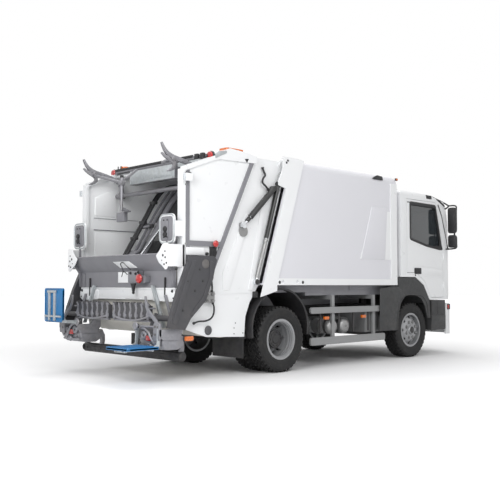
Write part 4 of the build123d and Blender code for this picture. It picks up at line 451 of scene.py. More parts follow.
class Piece:
    """Collects closed forms, with x from the rear axle, and makes one object of them that rides on a body."""

    # y of the forms is multiplied by this; hands() sets it for each side in turn
    side = LEFT

    def __init__(self, name, slot, body="tailgate", material=None):
        self.name = name
        self.slot = slot
        self.body = body
        self.material = material or finish[slot]
        self.mesh = bmesh.new()
        self.turn = None

    def mirrored(self, points):
        return [Vector((x, y * self.side, z)) for x, y, z in points]

    def put(self, points, faces):
        corners = [self.mesh.verts.new(self.turn @ p if self.turn else p) for p in points]
        for face in faces:
            self.mesh.faces.new([corners[i] for i in face])

    def add(self, points, faces):
        self.put(self.mirrored(points), faces)

    def prism(self, outline, axis, low, high, scale=1.0):
        """An outline in the two other directions, carried along an axis, with its far end scaled."""
        middle = sum((Vector(p) for p in outline), Vector((0, 0))) / len(outline)
        points = []
        for level, size in ((low, 1.0), (high, scale)):
            for corner in outline:
                a, b = middle + (Vector(corner) - middle) * size
                points.append(laid(axis, level, a, b))
        count = len(outline)
        sides = [(i, (i + 1) % count, count + (i + 1) % count, count + i) for i in range(count)]
        self.add(points, [tuple(range(count)), tuple(range(2 * count - 1, count - 1, -1)), *sides])

    def plate(self, points, radius, axis, low, high, scale=1.0):
        """A prism whose outline has its corners rounded."""
        self.prism(rounded(points, radius), axis, low, high, scale)

    def block(self, low, high):
        self.prism(box(low[0], high[0], low[1], high[1]), "z", low[2], high[2])

    def frame(self, outer, inner, axis, low, high):
        """A flat ring between two outlines of as many corners."""
        points = []
        for level in (low, high):
            for outline in (outer, inner):
                for a, b in outline:
                    points.append(laid(axis, level, a, b))
        count = len(outer)
        faces = []
        for i in range(count):
            k = (i + 1) % count
            faces.append((i, k, count + k, count + i))
            faces.append((2 * count + i, 3 * count + i, 3 * count + k, 2 * count + k))
            faces.append((i, 2 * count + i, 2 * count + k, k))
            faces.append((count + i, count + k, 3 * count + k, 3 * count + i))
        self.add(points, faces)

    def loft(self, path, radii, sides=16, closed=False):
        """Round sections along a path."""
        path = self.mirrored(path)
        rings = []
        lead = None
        count = len(path)
        for index, at in enumerate(path):
            ahead = path[(index + 1) % count] if closed or index + 1 < count else at
            behind = path[index - 1] if closed or index else at
            along = (ahead - behind).normalized()
            if lead is None:
                lead = along.orthogonal().normalized()
            lead = (lead - along * lead.dot(along)).normalized()
            other = along.cross(lead)
            radius = radii[index] if isinstance(radii, (list, tuple)) else radii
            turns = (math.tau * k / sides for k in range(sides))
            rings.append([at + (lead * math.cos(a) + other * math.sin(a)) * radius for a in turns])
        points = [p for ring in rings for p in ring]
        faces = []
        for index in range(count if closed else count - 1):
            follow = (index + 1) % count
            for k in range(sides):
                j = (k + 1) % sides
                faces.append((index * sides + k, index * sides + j, follow * sides + j, follow * sides + k))
        if not closed:
            faces.append(tuple(range(sides)))
            faces.append(tuple(range((count - 1) * sides, count * sides)))
        self.put(points, faces)

    def rod(self, start, end, radius, sides=24, far=None):
        self.loft([start, end], [radius, radius if far is None else far], sides)

    def tube(self, points, radius, sides=10, steps=8):
        self.loft(smooth_path(points, steps), radius, sides)

    def lathe(self, profile, centre, axis="y", steps=48):
        """A closed profile of (radius, offset) turned round an axis; a radius of 0 is a point."""
        points = []
        faces = []
        starts = []
        for radius, offset in profile:
            starts.append(len(points))
            for k in range(1 if radius == 0 else steps):
                a = radius * math.cos(math.tau * k / steps)
                b = radius * math.sin(math.tau * k / steps)
                points.append(Vector(centre) + Vector(laid(axis, offset, a, b)))
        closed = profile[0][0] != 0
        count = len(profile)
        for index in range(count if closed else count - 1):
            follow = (index + 1) % count
            first = profile[index][0] == 0
            second = profile[follow][0] == 0
            if first and second:
                continue
            for k in range(steps):
                j = (k + 1) % steps
                if first:
                    faces.append((starts[index], starts[follow] + j, starts[follow] + k))
                elif second:
                    faces.append((starts[index] + k, starts[index] + j, starts[follow]))
                else:
                    faces.append((starts[index] + k, starts[index] + j, starts[follow] + j,
                                  starts[follow] + k))
        self.add(points, faces)

    def nut(self, at, axis, radius, height, sides=6):
        """A nut or bolt head on its washer; the axis is the way that it stands."""
        at = Vector(at)
        way = Vector(axis).normalized()
        self.loft([at, at + way * height * 0.22], radius * 1.3, 16)
        self.loft([at, at + way * height * 0.9, at + way * height], [radius, radius, radius * 0.82], sides)

    def done(self, bevel=0.0, segments=2, replaces=()):
        bmesh.ops.recalc_face_normals(self.mesh, faces=self.mesh.faces)
        if bevel:
            edges = [e for e in self.mesh.edges if len(e.link_faces) == 2 and e.calc_face_angle(0) > SHARP]
            bmesh.ops.bevel(self.mesh, geom=edges, offset=bevel, segments=segments, profile=0.5,
                            affect="EDGES", clamp_overlap=True)
        bmesh.ops.translate(self.mesh, vec=(AXLE_X, 0, 0), verts=self.mesh.verts)
        made = as_object(self.mesh, self.name, self.body, self.material)
        made.data.set_sharp_from_angle(angle=SHARP)
        if replaces:
            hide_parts(*replaces)


def grid(first, second):
    return [(a, b) for b in second for a in first]


def circle(count, radius, middle_x, y, middle_z, phase=0.0):
    """Points spread round a circle seen from the side."""
    for number in range(count):
        turn = math.tau * (number + phase) / count
        yield middle_x + radius * math.cos(turn), y, middle_z + radius * math.sin(turn)


HANDS = ((RIGHT, "right"), (LEFT, "left"))


def hands():
    """Right, then left: in the loop's body y counts outwards to that side. It ends with y as given."""
    for Piece.side, hand in HANDS:
        yield hand


# Wheels
WHEEL_Z = 0.433
FRONT_X = 3.02
TYRE_RADIUS = 0.4325
TREAD_FLOOR = 0.415
# radius, offset from the tyre's middle
CARCASS = (
    (0.2485, 0.104), (0.266, 0.105), (0.2685, 0.112), (0.28, 0.119), (0.297, 0.1245), (0.299, 0.127),
    (0.307, 0.128), (0.31, 0.1265), (0.33, 0.1305), (0.357, 0.1322), (0.38, 0.1305), (0.382, 0.1322),
    (0.388, 0.1315), (0.39, 0.129), (0.402, 0.125), (0.412, 0.117), (TREAD_FLOOR, 0.104), (0.4155, 0.05),
    (0.4155, 0.0),
)
# offset, width, share of the pitch, phase
TREAD_COLUMNS = (
    (0.0, 0.029, 0.56, 0.0), (0.037, 0.029, 0.54, 0.5), (0.0735, 0.027, 0.52, 0.1),
    (-0.037, 0.029, 0.54, 0.5), (-0.0735, 0.027, 0.52, 0.9),
)
TREAD_COUNT = 38
TREAD_SKEW = 0.16
SHOULDER_INNER = 0.0925
SHOULDER_TOP = 0.108
SHOULDER_FOOT = 0.1245
SHOULDER_FOOT_RADIUS = 0.398
SHOULDER_SHARE = 0.5


def tread_block(piece, centre, angle, half, corners):
    """A block of tread over a span of angle; corners are (radius, offset, skew) round its section."""
    points = []
    for way in (-1, 1):
        for radius, offset, skew in corners:
            turn = angle + way * half + skew
            points.append((centre[0] + radius * math.cos(turn), centre[1] + offset,
                           centre[2] + radius * math.sin(turn)))
    count = len(corners)
    sides = [(i, (i + 1) % count, count + (i + 1) % count, count + i) for i in range(count)]
    piece.add(points, [tuple(range(count)), tuple(range(2 * count - 1, count - 1, -1)), *sides])


def tyre(piece, centre):
    ring = [*CARCASS, *((r, -w) for r, w in reversed(CARCASS[:-1]))]
    piece.lathe(ring, centre, "y", 108)
    pitch = math.tau / TREAD_COUNT
    for number in range(TREAD_COUNT):
        for offset, width, share, phase in TREAD_COLUMNS:
            low = TREAD_FLOOR - 0.003
            skew = TREAD_SKEW * pitch * (1 if offset >= 0 else -1)
            edges = (offset - width / 2, offset + width / 2)
            corners = ((low, edges[0], -skew), (low, edges[1], skew),
                       (TYRE_RADIUS, edges[1] - 0.0015, skew), (TYRE_RADIUS, edges[0] + 0.0015, -skew))
            tread_block(piece, centre, (number + phase) * pitch, pitch * share / 2, corners)
        for side in (-1, 1):
            corners = ((TREAD_FLOOR - 0.003, side * SHOULDER_INNER, 0), (0.392, side * 0.115, 0),
                       (SHOULDER_FOOT_RADIUS - 0.006, side * (SHOULDER_FOOT - 0.001), 0),
                       (SHOULDER_FOOT_RADIUS, side * (SHOULDER_FOOT + 0.002), 0), (0.425, side * 0.1155, 0),
                       (TYRE_RADIUS - 0.0015, side * SHOULDER_TOP, 0),
                       (TYRE_RADIUS - 0.0005, side * SHOULDER_INNER, 0))
            tread_block(piece, centre, (number + 0.35 * side) * pitch, pitch * SHOULDER_SHARE / 2, corners)


NUT_CIRCLE = 0.128
NUT_COUNT = 8
REAR_HUB = (
    (0, 0), (0.118, 0), (0.116, 0.012), (0.108, 0.016), (0.103, 0.118), (0.099, 0.123), (0.124, 0.125),
    (0.124, 0.139), (0.118, 0.145), (0.064, 0.148), (0.058, 0.158), (0, 0.16),
)
for side, hand in HANDS:
    front = Piece(f"front_tread_{hand}", "tyre", f"front_wheel_{hand}")
    tyre(front, (FRONT_X, side * 0.9735, WHEEL_Z))
    front.done(replaces=(f"front_tyre_{hand}",))
    rear = Piece(f"rear_treads_{hand}", "tyre", f"rear_wheels_{hand}")
    for middle in (0.9995, 0.7025):
        tyre(rear, (0, side * middle, WHEEL_Z))
    rear.done(replaces=(f"rear_tyres_{hand}",))

for hand in hands():
    nuts = Piece(f"front_wheel_nuts_{hand}", "steel", f"front_wheel_{hand}")
    hub = Piece(f"front_hub_cap_{hand}", "chassis_grey", f"front_wheel_{hand}")
    for at in circle(NUT_COUNT, NUT_CIRCLE, FRONT_X, 1.0855, WHEEL_Z, 0.5):
        nuts.nut(at, (0, 1, 0), 0.0145, 0.024)
        hub.rod(at, (at[0], 1.0875, at[2]), 0.0255, 20)
    nuts.done(0.0015)
    face = 1.0865
    hub.lathe([(0, 0), (0.066, 0), (0.066, 0.004), (0.056, 0.007), (0.053, 0.0245), (0.044, 0.0275),
               (0, 0.0275)], (FRONT_X, face, WHEEL_Z), "y", 40)
    for at in circle(NUT_COUNT, 0.061, FRONT_X, face + 0.004, WHEEL_Z):
        hub.nut(at, (0, 1, 0), 0.006, 0.007)
    hub.done(0.001)

    beads = Piece(f"rear_rim_steps_{hand}", "rim_silver", f"rear_wheels_{hand}")
    for radius, level, width in ((0.2405, 1.088, 0.01), (0.2405, 1.052, 0.014), (0.2405, 1.01, 0.012)):
        beads.lathe([(radius, 0), (radius - 0.011, width * 0.25), (radius - 0.011, width * 0.75),
                     (radius, width)], (0, level, WHEEL_Z), "y", 72)
    beads.done()
    nuts = Piece(f"rear_wheel_nuts_{hand}", "steel", f"rear_wheels_{hand}")
    hub = Piece(f"rear_hub_{hand}", "chassis_grey", f"rear_wheels_{hand}")
    disc = 0.863
    for at in circle(NUT_COUNT, 0.141, 0, disc, WHEEL_Z, 0.5):
        nuts.nut(at, (0, 1, 0), 0.0145, 0.03)
    nuts.done(0.0015)
    hub.lathe(REAR_HUB, (0, disc, WHEEL_Z), "y", 48)
    for at in circle(10, 0.092, 0, disc + 0.146, WHEEL_Z):
        hub.nut(at, (0, 1, 0), 0.0085, 0.01)
    hub.done(0.0012)


# Tailgate, seen from behind
RIM_EDGES = (0.822, 1.094)
guard_rims = Piece("post_guard_rims", "galvanised")
guard_pads = Piece("post_guard_pads", "frame_grey")
guard_knobs = Piece("post_guard_knobs", "black_plastic")
for hand in hands():
    # Each rim starts at its edge on the lorry's right
    start, end = RIM_EDGES[::Piece.side]
    rim = [(-1.776, y, z) for y, z in rounded(box(start, end, 1.637, 1.973), 0.075, 5)]
    guard_rims.loft(rim, 0.0085, 10, closed=True)
    guard_pads.prism(pad(0.845, 1.071, 1.66, 1.95, 0.05), "x", -1.777, -1.784)
    middle = 0.958
    guard_pads.prism(pad(middle - 0.045, middle + 0.045, 1.68, 1.93, 0.03), "x", -1.783, -1.796)
    guard_pads.prism(pad(middle - 0.02, middle + 0.02, 1.52, 1.66, 0.01), "x", -1.76, -1.776)
    for level in (1.8, 1.735):
        guard_knobs.lathe([(0, 0), (0.03, 0), (0.034, -0.006), (0.034, -0.016), (0.024, -0.024), (0, -0.026)],
                          (-1.795, middle, level), "x", 24)
    for y, z in grid((-0.032, 0.032), (-0.1, 0.1)):
        guard_knobs.nut((-1.796, middle + y, 1.805 + z), (-1, 0, 0), 0.008, 0.007)
guard_rims.done()
guard_pads.done(0.002)
guard_knobs.done()

# White bracket plates that close the lip's ends
LIP_PLATE = ((0.868, 1.488), (0.935, 1.545), (1.0, 1.628), (1.096, 1.634), (1.1, 1.415), (1.088, 1.345),
             (1.055, 1.318), (0.985, 1.372), (0.93, 1.402))
plates = Piece("lip_end_plates", "white_paint")
holes = Piece("lip_plate_hole_shade_and_nuts", "dark_plastic")
for hand in hands():
    outline = rounded(LIP_PLATE, 0.022)
    plates.prism(outline, "x", -1.868, -1.858)
    plates.prism(pad(1.088, 1.1, 1.36, 1.62, 0.003), "x", -1.86, -1.62)
    # Thin dark discs where the plates have holes are painted shade; the nuts below are real.
    for y, z, radius in ((1.045, 1.535, 0.011), (1.005, 1.49, 0.016), (1.05, 1.465, 0.013),
                         (0.985, 1.43, 0.008)):
        holes.rod((-1.8685, y, z), (-1.8695, y, z), radius, 20)
    for y, z in ((1.03, 1.385), (1.075, 1.4)):
        holes.nut((-1.868, y, z), (-1, 0, 0), 0.009, 0.008)
plates.done(0.003)
holes.done()

# Lip edge: a rolled tube along the top, folded end cheeks and stiffening seams
sill = Piece("sill_edges", "frame_grey")
sill.rod((-1.846, -1.018, 1.508), (-1.846, 1.018, 1.508), 0.0105, 16)
for y in (-0.7, -0.35, 0.35, 0.7):
    sill.prism([(-1.836, 1.5), (-1.703, 1.315), (-1.703, 1.3), (-1.7, 1.3), (-1.7, 1.318), (-1.836, 1.506)],
               "y", y - 0.006, y + 0.006)
for hand in hands():
    cheek = [(-1.845, 1.5), (-1.705, 1.31), (-1.705, 1.118), (-1.735, 1.118), (-1.745, 1.29), (-1.862, 1.455)]
    sill.plate(cheek, 0.012, "y", 1.012, 1.02)
    sill.block((-1.712, 0.925, 1.115), (-1.7, 0.975, 1.3))
sill.done(0.0025)

labels = Piece("sill_plates", "white_paint")
labels.add([(-1.7435, 0.035, 1.359), (-1.7435, -0.335, 1.359), (-1.8015, -0.235, 1.4385),
            (-1.8015, 0.125, 1.4385), (-1.7415, 0.035, 1.3575), (-1.7415, -0.335, 1.3575),
            (-1.7995, -0.235, 1.437), (-1.7995, 0.125, 1.437)],
           [(0, 1, 2, 3), (4, 7, 6, 5), (0, 4, 5, 1), (1, 5, 6, 2), (2, 6, 7, 3), (3, 7, 4, 0)])
labels.prism(pad(-0.075, 0.145, 1.175, 1.31, 0.004), "x", -1.703, -1.7)
labels.done(0.0008)

# Control box on the lip, with its buttons, stop knob and pull handle
control = Piece("rear_control_box", "frame_grey")
control.prism(pad(-0.405, -0.185, 1.175, 1.318, 0.012), "x", -1.704, -1.782)
control.prism(pad(-0.545, -0.4, 1.172, 1.262, 0.01), "x", -1.704, -1.79)
control.done(0.003)
buttons = Piece("rear_control_buttons", "black_plastic")
for y, z in ((-0.245, 1.292), (-0.355, 1.283), (-0.405, 1.3)):
    buttons.lathe([(0, 0), (0.018, 0), (0.018, -0.006), (0.013, -0.008), (0.012, -0.016), (0, -0.018)],
                  (-1.782, y, z), "x", 20)
buttons.prism([(-0.358, 1.165), (-0.262, 1.165), (-0.285, 1.128), (-0.3, 1.065), (-0.324, 1.065),
               (-0.335, 1.128)], "x", -1.8, -1.775)
buttons.lathe([(0, 0.016), (0.014, 0.012), (0.02, 0), (0.014, -0.012), (0, -0.016)], (-1.788, -0.312, 1.052),
              "x", 20)
buttons.tube([(-1.79, -0.06, 1.245), (-1.79, -0.09, 1.33), (-1.795, -0.04, 1.405), (-1.8, -0.1, 1.425),
              (-1.8, -0.2, 1.37), (-1.79, -0.25, 1.335)], 0.0055)
buttons.tube([(-1.79, -0.185, 1.275), (-1.8, -0.13, 1.31), (-1.8, -0.1, 1.3)], 0.0055)
buttons.done(0.0008)
stops = Piece("stop_knobs", "red_plastic")
stops.lathe([(0, 0), (0.022, 0), (0.024, -0.016), (0.052, -0.024), (0.057, -0.034), (0.05, -0.05),
             (0.028, -0.06), (0, -0.063)], (-1.79, -0.478, 1.222), "x", 32)
for hand in hands():
    stops.lathe([(0, 0), (0.026, 0), (0.028, 0.012), (0.04, 0.018), (0.042, 0.028), (0.034, 0.038),
                 (0.018, 0.044), (0, 0.045)], (-1.155, 1.1, 1.645), "y", 32)
stops.done()

# Hinge bars of the sill, with their bolts, and the end shields of the beam
bars = Piece("sill_hinge_bars", "black_plastic")
shields = Piece("sill_beam_shields", "white_paint")
for y in (-0.845, 0.795):
    bars.prism(pad(y - 0.011, y + 0.011, 1.0, 1.235, 0.006), "x", -1.702, -1.718)
for hand in hands():
    shape = ((0.6, 1.09), (0.955, 1.095), (1.035, 1.065), (1.045, 0.985), (0.99, 0.945), (0.86, 0.95),
             (0.6, 0.955))
    shields.plate(shape, 0.02, "x", -1.7, -1.712)
    bars.nut((-1.712, 0.985, 1.072), (-1, 0, 0), 0.014, 0.012)
    bars.nut((-1.712, 1.005, 0.99), (-1, 0, 0), 0.009, 0.008)
bars.block((-1.703, -0.33, 0.968), (-1.7, -0.02, 0.976))
bars.done(0.002)
shields.done(0.004)
beam = Piece("sill_beam_trim", "white_paint")
beam.block((-1.712, -1.015, 1.094), (-1.69, 1.015, 1.112))
beam.block((-1.706, -1.0, 0.966), (-1.69, 1.0, 0.974))
beam.done(0.003)


# Hopper inside
def slant(start, end, y_low, y_high, thick):
    """A plank seen from the side: from one (x, z) to another, between two y."""
    a, b = Vector(start), Vector(end)
    across = Vector((-(b - a).y, (b - a).x)).normalized() * thick / 2
    return [tuple(a + across), tuple(b + across), tuple(b - across), tuple(a - across)], "y", y_low, y_high


CARRIER_LINE = ((-0.56, 2.5), (-0.7, 2.43), (-0.85, 2.25), (-0.985, 2.055), (-1.14, 1.8), (-1.33, 1.5))
pipes = Piece("carrier_pipes", "black_plastic")
for y in (0.335, 0.395):
    pipes.tube([(-0.56, y, 2.545), (-0.7, y, 2.52), (-0.845, y, 2.44), (-0.985, y, 2.27), (-1.11, y, 2.07),
                (-1.255, y, 1.84), (-1.445, y, 1.54), (-1.49, y, 1.465)], 0.019, 14, 8)
pipes.done()
rails = Piece("carrier_rails", "frame_grey")
for y_low, y_high, lift in ((0.3, 0.312, 0.045), (0.235, 0.262, 0.03), (0.12, 0.205, 0.0),
                            (-0.42, -0.36, 0.0)):
    for (xa, za), (xb, zb) in zip(CARRIER_LINE, CARRIER_LINE[1:]):
        rails.prism(*slant((xa - lift, za + lift * 0.5), (xb - lift, zb + lift * 0.5), y_low, y_high, 0.035))
for x, z in ((-1.065, 1.99), (-1.3, 1.61)):
    rails.prism(*slant((x - 0.03, z - 0.012), (x - 0.13, z - 0.07), 0.2, 0.42, 0.02))
rails.done(0.003)
clips = Piece("carrier_clips", "dark_plastic")
for x, z in ((-0.985, 2.27), (-1.16, 1.99), (-1.3, 1.77)):
    clips.block((x - 0.03, 0.31, z - 0.02), (x + 0.03, 0.42, z + 0.02))
clips.rod((-1.145, 0.45, 1.935), (-1.145, 0.16, 1.935), 0.028, 20)
clips.done(0.006)
# A thin dark sheet along the carrier's upper run, under the roof, is a painted shadow.
shade = Piece("carrier_painted_shadow", "dark_plastic")
for (xa, za), (xb, zb) in zip(CARRIER_LINE[:4], CARRIER_LINE[1:4]):
    shade.prism(*slant((xa + 0.035, za), (xb + 0.035, zb), -0.98, 0.31, 0.012))
shade.prism(*slant((-0.955, 2.06), (-0.985, 1.995), -0.98, 0.31, 0.012))
shade.done(0.002)
ram = Piece("carrier_ram", "rod_chrome")
ram.rod((-0.985, 0.02, 2.055), (-1.445, 0.02, 1.53), 0.014, 20)
ram.done()
skins = Piece("packer_skin", "dark_plastic", "packer")
skins.prism(*slant((-0.689, 1.759), (-0.964, 1.366), -1.01, 1.01, 0.056))
for y in (-0.75, -0.45, -0.15, 0.15, 0.45, 0.75):
    skins.prism(*slant((-0.733, 1.768), (-0.985, 1.405), y - 0.012, y + 0.012, 0.045))
skins.done(0.003)

# Pressed panels of the inner walls
panels = Piece("hopper_wall_panels", "white_paint")
for hand in hands():
    for outline in (
        ((-1.5, 2.1), (-1.136, 2.1), (-1.136, 2.455), (-1.3, 2.455), (-1.5, 2.36)),
        box(-1.5, -0.8, 1.16, 1.895),
    ):
        panels.prism(rounded(outline, 0.025, 3), "y", 1.0305, 1.0225, 0.955)
panels.done(0.0025)
seams = Piece("hopper_wall_seams", "frame_grey")
for hand in hands():
    seams.block((-1.515, 1.0305, 1.905), (-0.77, 1.018, 1.917))
    seams.block((-1.515, 1.0305, 2.07), (-0.77, 1.018, 2.076))
seams.done(0.003)

# Lid-opener forks: cast claws, tapered and rounded, on the cross tube, with their lock strut
FORK_CLAW = (
    (-1.765, 2.849, 0.009), (-1.746, 2.812, 0.014), (-1.717, 2.768, 0.02), (-1.682, 2.732, 0.025),
    (-1.635, 2.704, 0.029), (-1.58, 2.684, 0.03), (-1.5, 2.67, 0.029), (-1.4, 2.652, 0.027),
    (-1.29, 2.622, 0.026), (-1.2, 2.585, 0.028), (-1.15, 2.53, 0.032), (-1.14, 2.4, 0.034),
)
FORK_SPUR = (
    (-1.762, 2.724, 0.009), (-1.718, 2.692, 0.016), (-1.658, 2.664, 0.022), (-1.6, 2.641, 0.026),
    (-1.566, 2.61, 0.026), (-1.566, 2.577, 0.023), (-1.594, 2.548, 0.018), (-1.64, 2.523, 0.012),
    (-1.672, 2.51, 0.006),
)
FORK_HALF = 0.014


def strap(piece, line, axis, low, high):
    """A flat bar of changing width along a line seen from the side or from behind."""
    left = []
    right = []
    for index, (x, z, width) in enumerate(line):
        ahead = line[min(index + 1, len(line) - 1)]
        behind = line[max(index - 1, 0)]
        along = Vector((ahead[0] - behind[0], ahead[1] - behind[1])).normalized()
        across = Vector((-along.y, along.x)) * width
        left.append((x + across.x, z + across.y))
        right.append((x - across.x, z - across.y))
    piece.prism(left + right[::-1], axis, low, high)


forks = Piece("lid_fork_claws", "galvanised", material=DULL_ZINC)
for y in (0.9, -0.83):
    for line in (FORK_CLAW, FORK_SPUR):
        strap(forks, line, "y", y - FORK_HALF, y + FORK_HALF)
    forks.rod((-1.6, y - 0.026, 2.672), (-1.6, y + 0.026, 2.672), 0.026, 20)
    forks.rod((-1.14, y - 0.045, 2.4), (-1.14, y + 0.045, 2.4), 0.043, 28)
    for x, z in ((-1.45, 2.661), (-1.28, 2.62)):
        forks.nut((x, y - FORK_HALF, z), (0, -1, 0), 0.01, 0.008)
forks.rod((-1.14, -1.029, 2.4), (-1.14, 1.029, 2.4), 0.03, 28)
forks.rod((-1.6, 0.88, 2.64), (-1.655, 0.16, 2.47), 0.021, 16)
forks.rod((-1.6, -0.83, 2.672), (-1.54, -0.56, 2.66), 0.021, 16)
forks.loft([(-1.655, 0.15, 2.1), (-1.655, 0.15, 2.535)], 0.019, 16)
forks.block((-1.69, 0.118, 2.435), (-1.62, 0.182, 2.5))
forks.prism([(-1.655, 2.5), (-1.62, 2.485), (-1.4, 2.655), (-1.43, 2.672)], "y", 0.14, 0.16)
forks.done(0.004, replaces=("lid_opener_forks",))
latch = Piece("lid_fork_lock_box", "frame_grey")
latch.prism(pad(0.224, 0.4, 1.975, 2.1, 0.01), "x", -1.566, -1.508)
latch.prism([(-1.668, 2.11), (-1.668, 2.155), (-1.59, 2.135), (-1.515, 2.1), (-1.566, 2.1)], "y", 0.137,
            0.165)
latch.prism([(-1.56, 2.095), (-1.56, 2.112), (-1.515, 2.112), (-1.515, 2.095)], "y", 0.137, 0.28)
latch.done(0.004)
knob = Piece("lid_fork_lock_knob", "black_plastic")
knob.lathe([(0, 0), (0.02, 0), (0.024, 0.012), (0.024, 0.026), (0.014, 0.034), (0, 0.036)],
           (-1.655, 0.15, 2.533), "z", 20)
knob.done()


# Tailgate sides
PANEL_Y = 1.072
STRIP_Y = 1.1
WALL_Y = 1.052
side_boxes = Piece("side_covers", "white_paint")
side_dark = Piece("side_switches", "black_plastic")
side_bolts = Piece("side_bolts", "steel")
for hand in hands():
    side_boxes.prism(pad(-1.6, -1.322, 1.5, 1.592, 0.008), "y", PANEL_Y, 1.106)
    side_dark.prism(pad(-1.222, -1.118, 1.462, 1.612, 0.008), "y", 1.075, 1.098)
    for x, z in grid((-1.198, -1.155), (1.585, 1.545, 1.505)):
        side_dark.rod((x, 1.097, z), (x, 1.103, z), 0.011, 16)
    side_dark.rod((-1.268, PANEL_Y, 1.52), (-1.268, 1.104, 1.52), 0.02, 20)
    side_dark.prism(box(-1.62, -1.545, 2.385, 2.475), "y", 1.1, 1.128)
    for z in (1.632, 2.33):
        side_bolts.nut((-1.607, STRIP_Y, z), (0, 1, 0), 0.011, 0.009)
    for x, z in ((-0.766, 0.671), (-0.789, 0.61), (-0.589, 0.592), (-0.789, 0.539), (-0.638, 0.542),
                 (-0.589, 0.519)):
        side_dark.rod((x, WALL_Y, z), (x, WALL_Y + 0.0045, z), 0.0075, 14)
side_boxes.done(0.004)
side_dark.done(0.002)
side_bolts.done(0.001)

work_lamps = Piece("work_lamps", "lamp_clear")
lamp_cases = Piece("work_lamp_cases", "white_paint")
for hand in hands():
    lamp_cases.prism(pad(-1.655, -1.55, 2.368, 2.458, 0.01), "y", 1.112, 1.165)
    work_lamps.prism(pad(1.112, 1.165, 2.376, 2.45, 0.008), "x", -1.662, -1.654)
lamp_cases.done(0.004)
work_lamps.done(0.002)

# Folded edges, seams and the crease low on the wall
folds = Piece("wall_seams", "white_paint")
for hand in hands():
    folds.prism(box(-1.12, -0.395, 1.035, 1.048), "y", WALL_Y, WALL_Y + 0.004)
    rib = [(-0.545, 1.075), (-0.455, 1.075), (-0.215, 2.25), (-0.3, 2.25)]
    folds.prism(rounded(rib, 0.02, 3), "y", WALL_Y, WALL_Y + 0.007, 0.99)
    rib = [(-0.985, 1.075), (-0.87, 1.075), (-0.5, 2.06), (-0.58, 2.06), (-0.985, 1.3)]
    folds.prism(rounded(rib, 0.02, 3), "y", WALL_Y, WALL_Y + 0.007, 0.985)
    folds.prism([(-1.515, 1.7), (-1.15, 1.7), (-0.79, 2.6), (-0.96, 2.6), (-1.515, 2.36)], "y", PANEL_Y,
                PANEL_Y + 0.005)
folds.done(0.0025)

latches = Piece("wall_latches", "black_plastic")
for hand in hands():
    latches.prism(pad(-0.47, -0.405, 0.985, 1.062, 0.012), "y", WALL_Y, 1.09)
    latches.rod((-0.445, 1.05, 1.0), (-0.445, 1.105, 1.0), 0.014, 16)
    latches.prism([(-0.65, 2.742), (-0.578, 2.75), (-0.612, 2.695)], "y", 1.0995, 1.104)
latches.done(0.002)

# Lifting arms: raised ribs, caps and bolts; drain plugs
for hand in hands():
    body = f"lifter_{hand}"
    outer = 1.1725
    arm = Piece(f"lifter_arm_trim_{hand}", "arm_grey", body)
    rib = [(-1.56, 1.44), (-1.5, 1.44), (-1.61, 1.15), (-1.73, 0.82), (-1.8, 0.69), (-1.86, 0.7),
           (-1.8, 0.85), (-1.69, 1.15)]
    arm.prism(rounded(rib, 0.02, 3), "y", outer - 0.002, outer + 0.006, 0.98)
    rib = [(-1.3, 1.44), (-1.235, 1.43), (-1.235, 1.23), (-1.34, 1.0), (-1.56, 0.78), (-1.6, 0.79),
           (-1.4, 1.01), (-1.3, 1.24)]
    arm.prism(rounded(rib, 0.02, 3), "y", outer - 0.002, outer + 0.006, 0.98)
    arm.done(0.003)
    studs = Piece(f"lifter_arm_bolts_{hand}", "dark_plastic", body)
    for x, z in ((-1.634, 1.19), (-1.4, 1.19), (-1.521, 1.077), (-1.7, 0.85), (-1.45, 1.33)):
        studs.nut((x, outer, z), (0, 1, 0), 0.012, 0.01)
    studs.done(0.001)
    caps = Piece(f"lifter_pin_caps_{hand}", "cast_grey")
    caps.lathe([(0, 0), (0.056, 0), (0.056, 0.003), (0.048, 0.007), (0.02, 0.009), (0, 0.009)],
               (-1.36, outer, 1.395), "y", 36)
    caps.lathe([(0, 0), (0.052, 0), (0.058, 0.006), (0.046, 0.02), (0.03, 0.024),
                (0.022, 0.034), (0, 0.034)], (-1.217, WALL_Y, 0.598), "y", 28)
    for at in circle(6, 0.042, -1.217, WALL_Y + 0.01, 0.598):
        caps.nut(at, (0, 1, 0), 0.006, 0.007)
    caps.done(0.001)

    # Comb: cast hooks over the bar and the bowed catch under it
    hooks = Piece(f"comb_hooks_{hand}", "galvanised", body, DULL_ZINC)
    for tooth in range(7):
        y = 0.075 + 0.116 * tooth
        hooks.prism([(-1.858, 0.735), (-1.912, 0.735), (-1.922, 0.8), (-1.905, 0.85), (-1.922, 0.925),
                     (-1.902, 0.93), (-1.88, 0.895), (-1.858, 0.89)], "y", y - 0.017, y + 0.017)
        hooks.rod((-1.89, y - 0.03, 0.775), (-1.89, y + 0.03, 0.775), 0.024, 16)
        hooks.prism([(-1.858, 0.88), (-1.905, 0.88), (-1.902, 0.862), (-1.858, 0.862)], "y", y + 0.02,
                    y + 0.094)
    hooks.loft(smooth_path([(-1.905, 0.05, 0.77), (-1.922, 0.25, 0.735), (-1.922, 0.45, 0.722),
                            (-1.922, 0.65, 0.738), (-1.905, 0.82, 0.785)], 6), 0.0125, 10)
    hooks.block((-1.9, 0.06, 0.708), (-1.862, 0.79, 0.728))
    hooks.done(0.003)

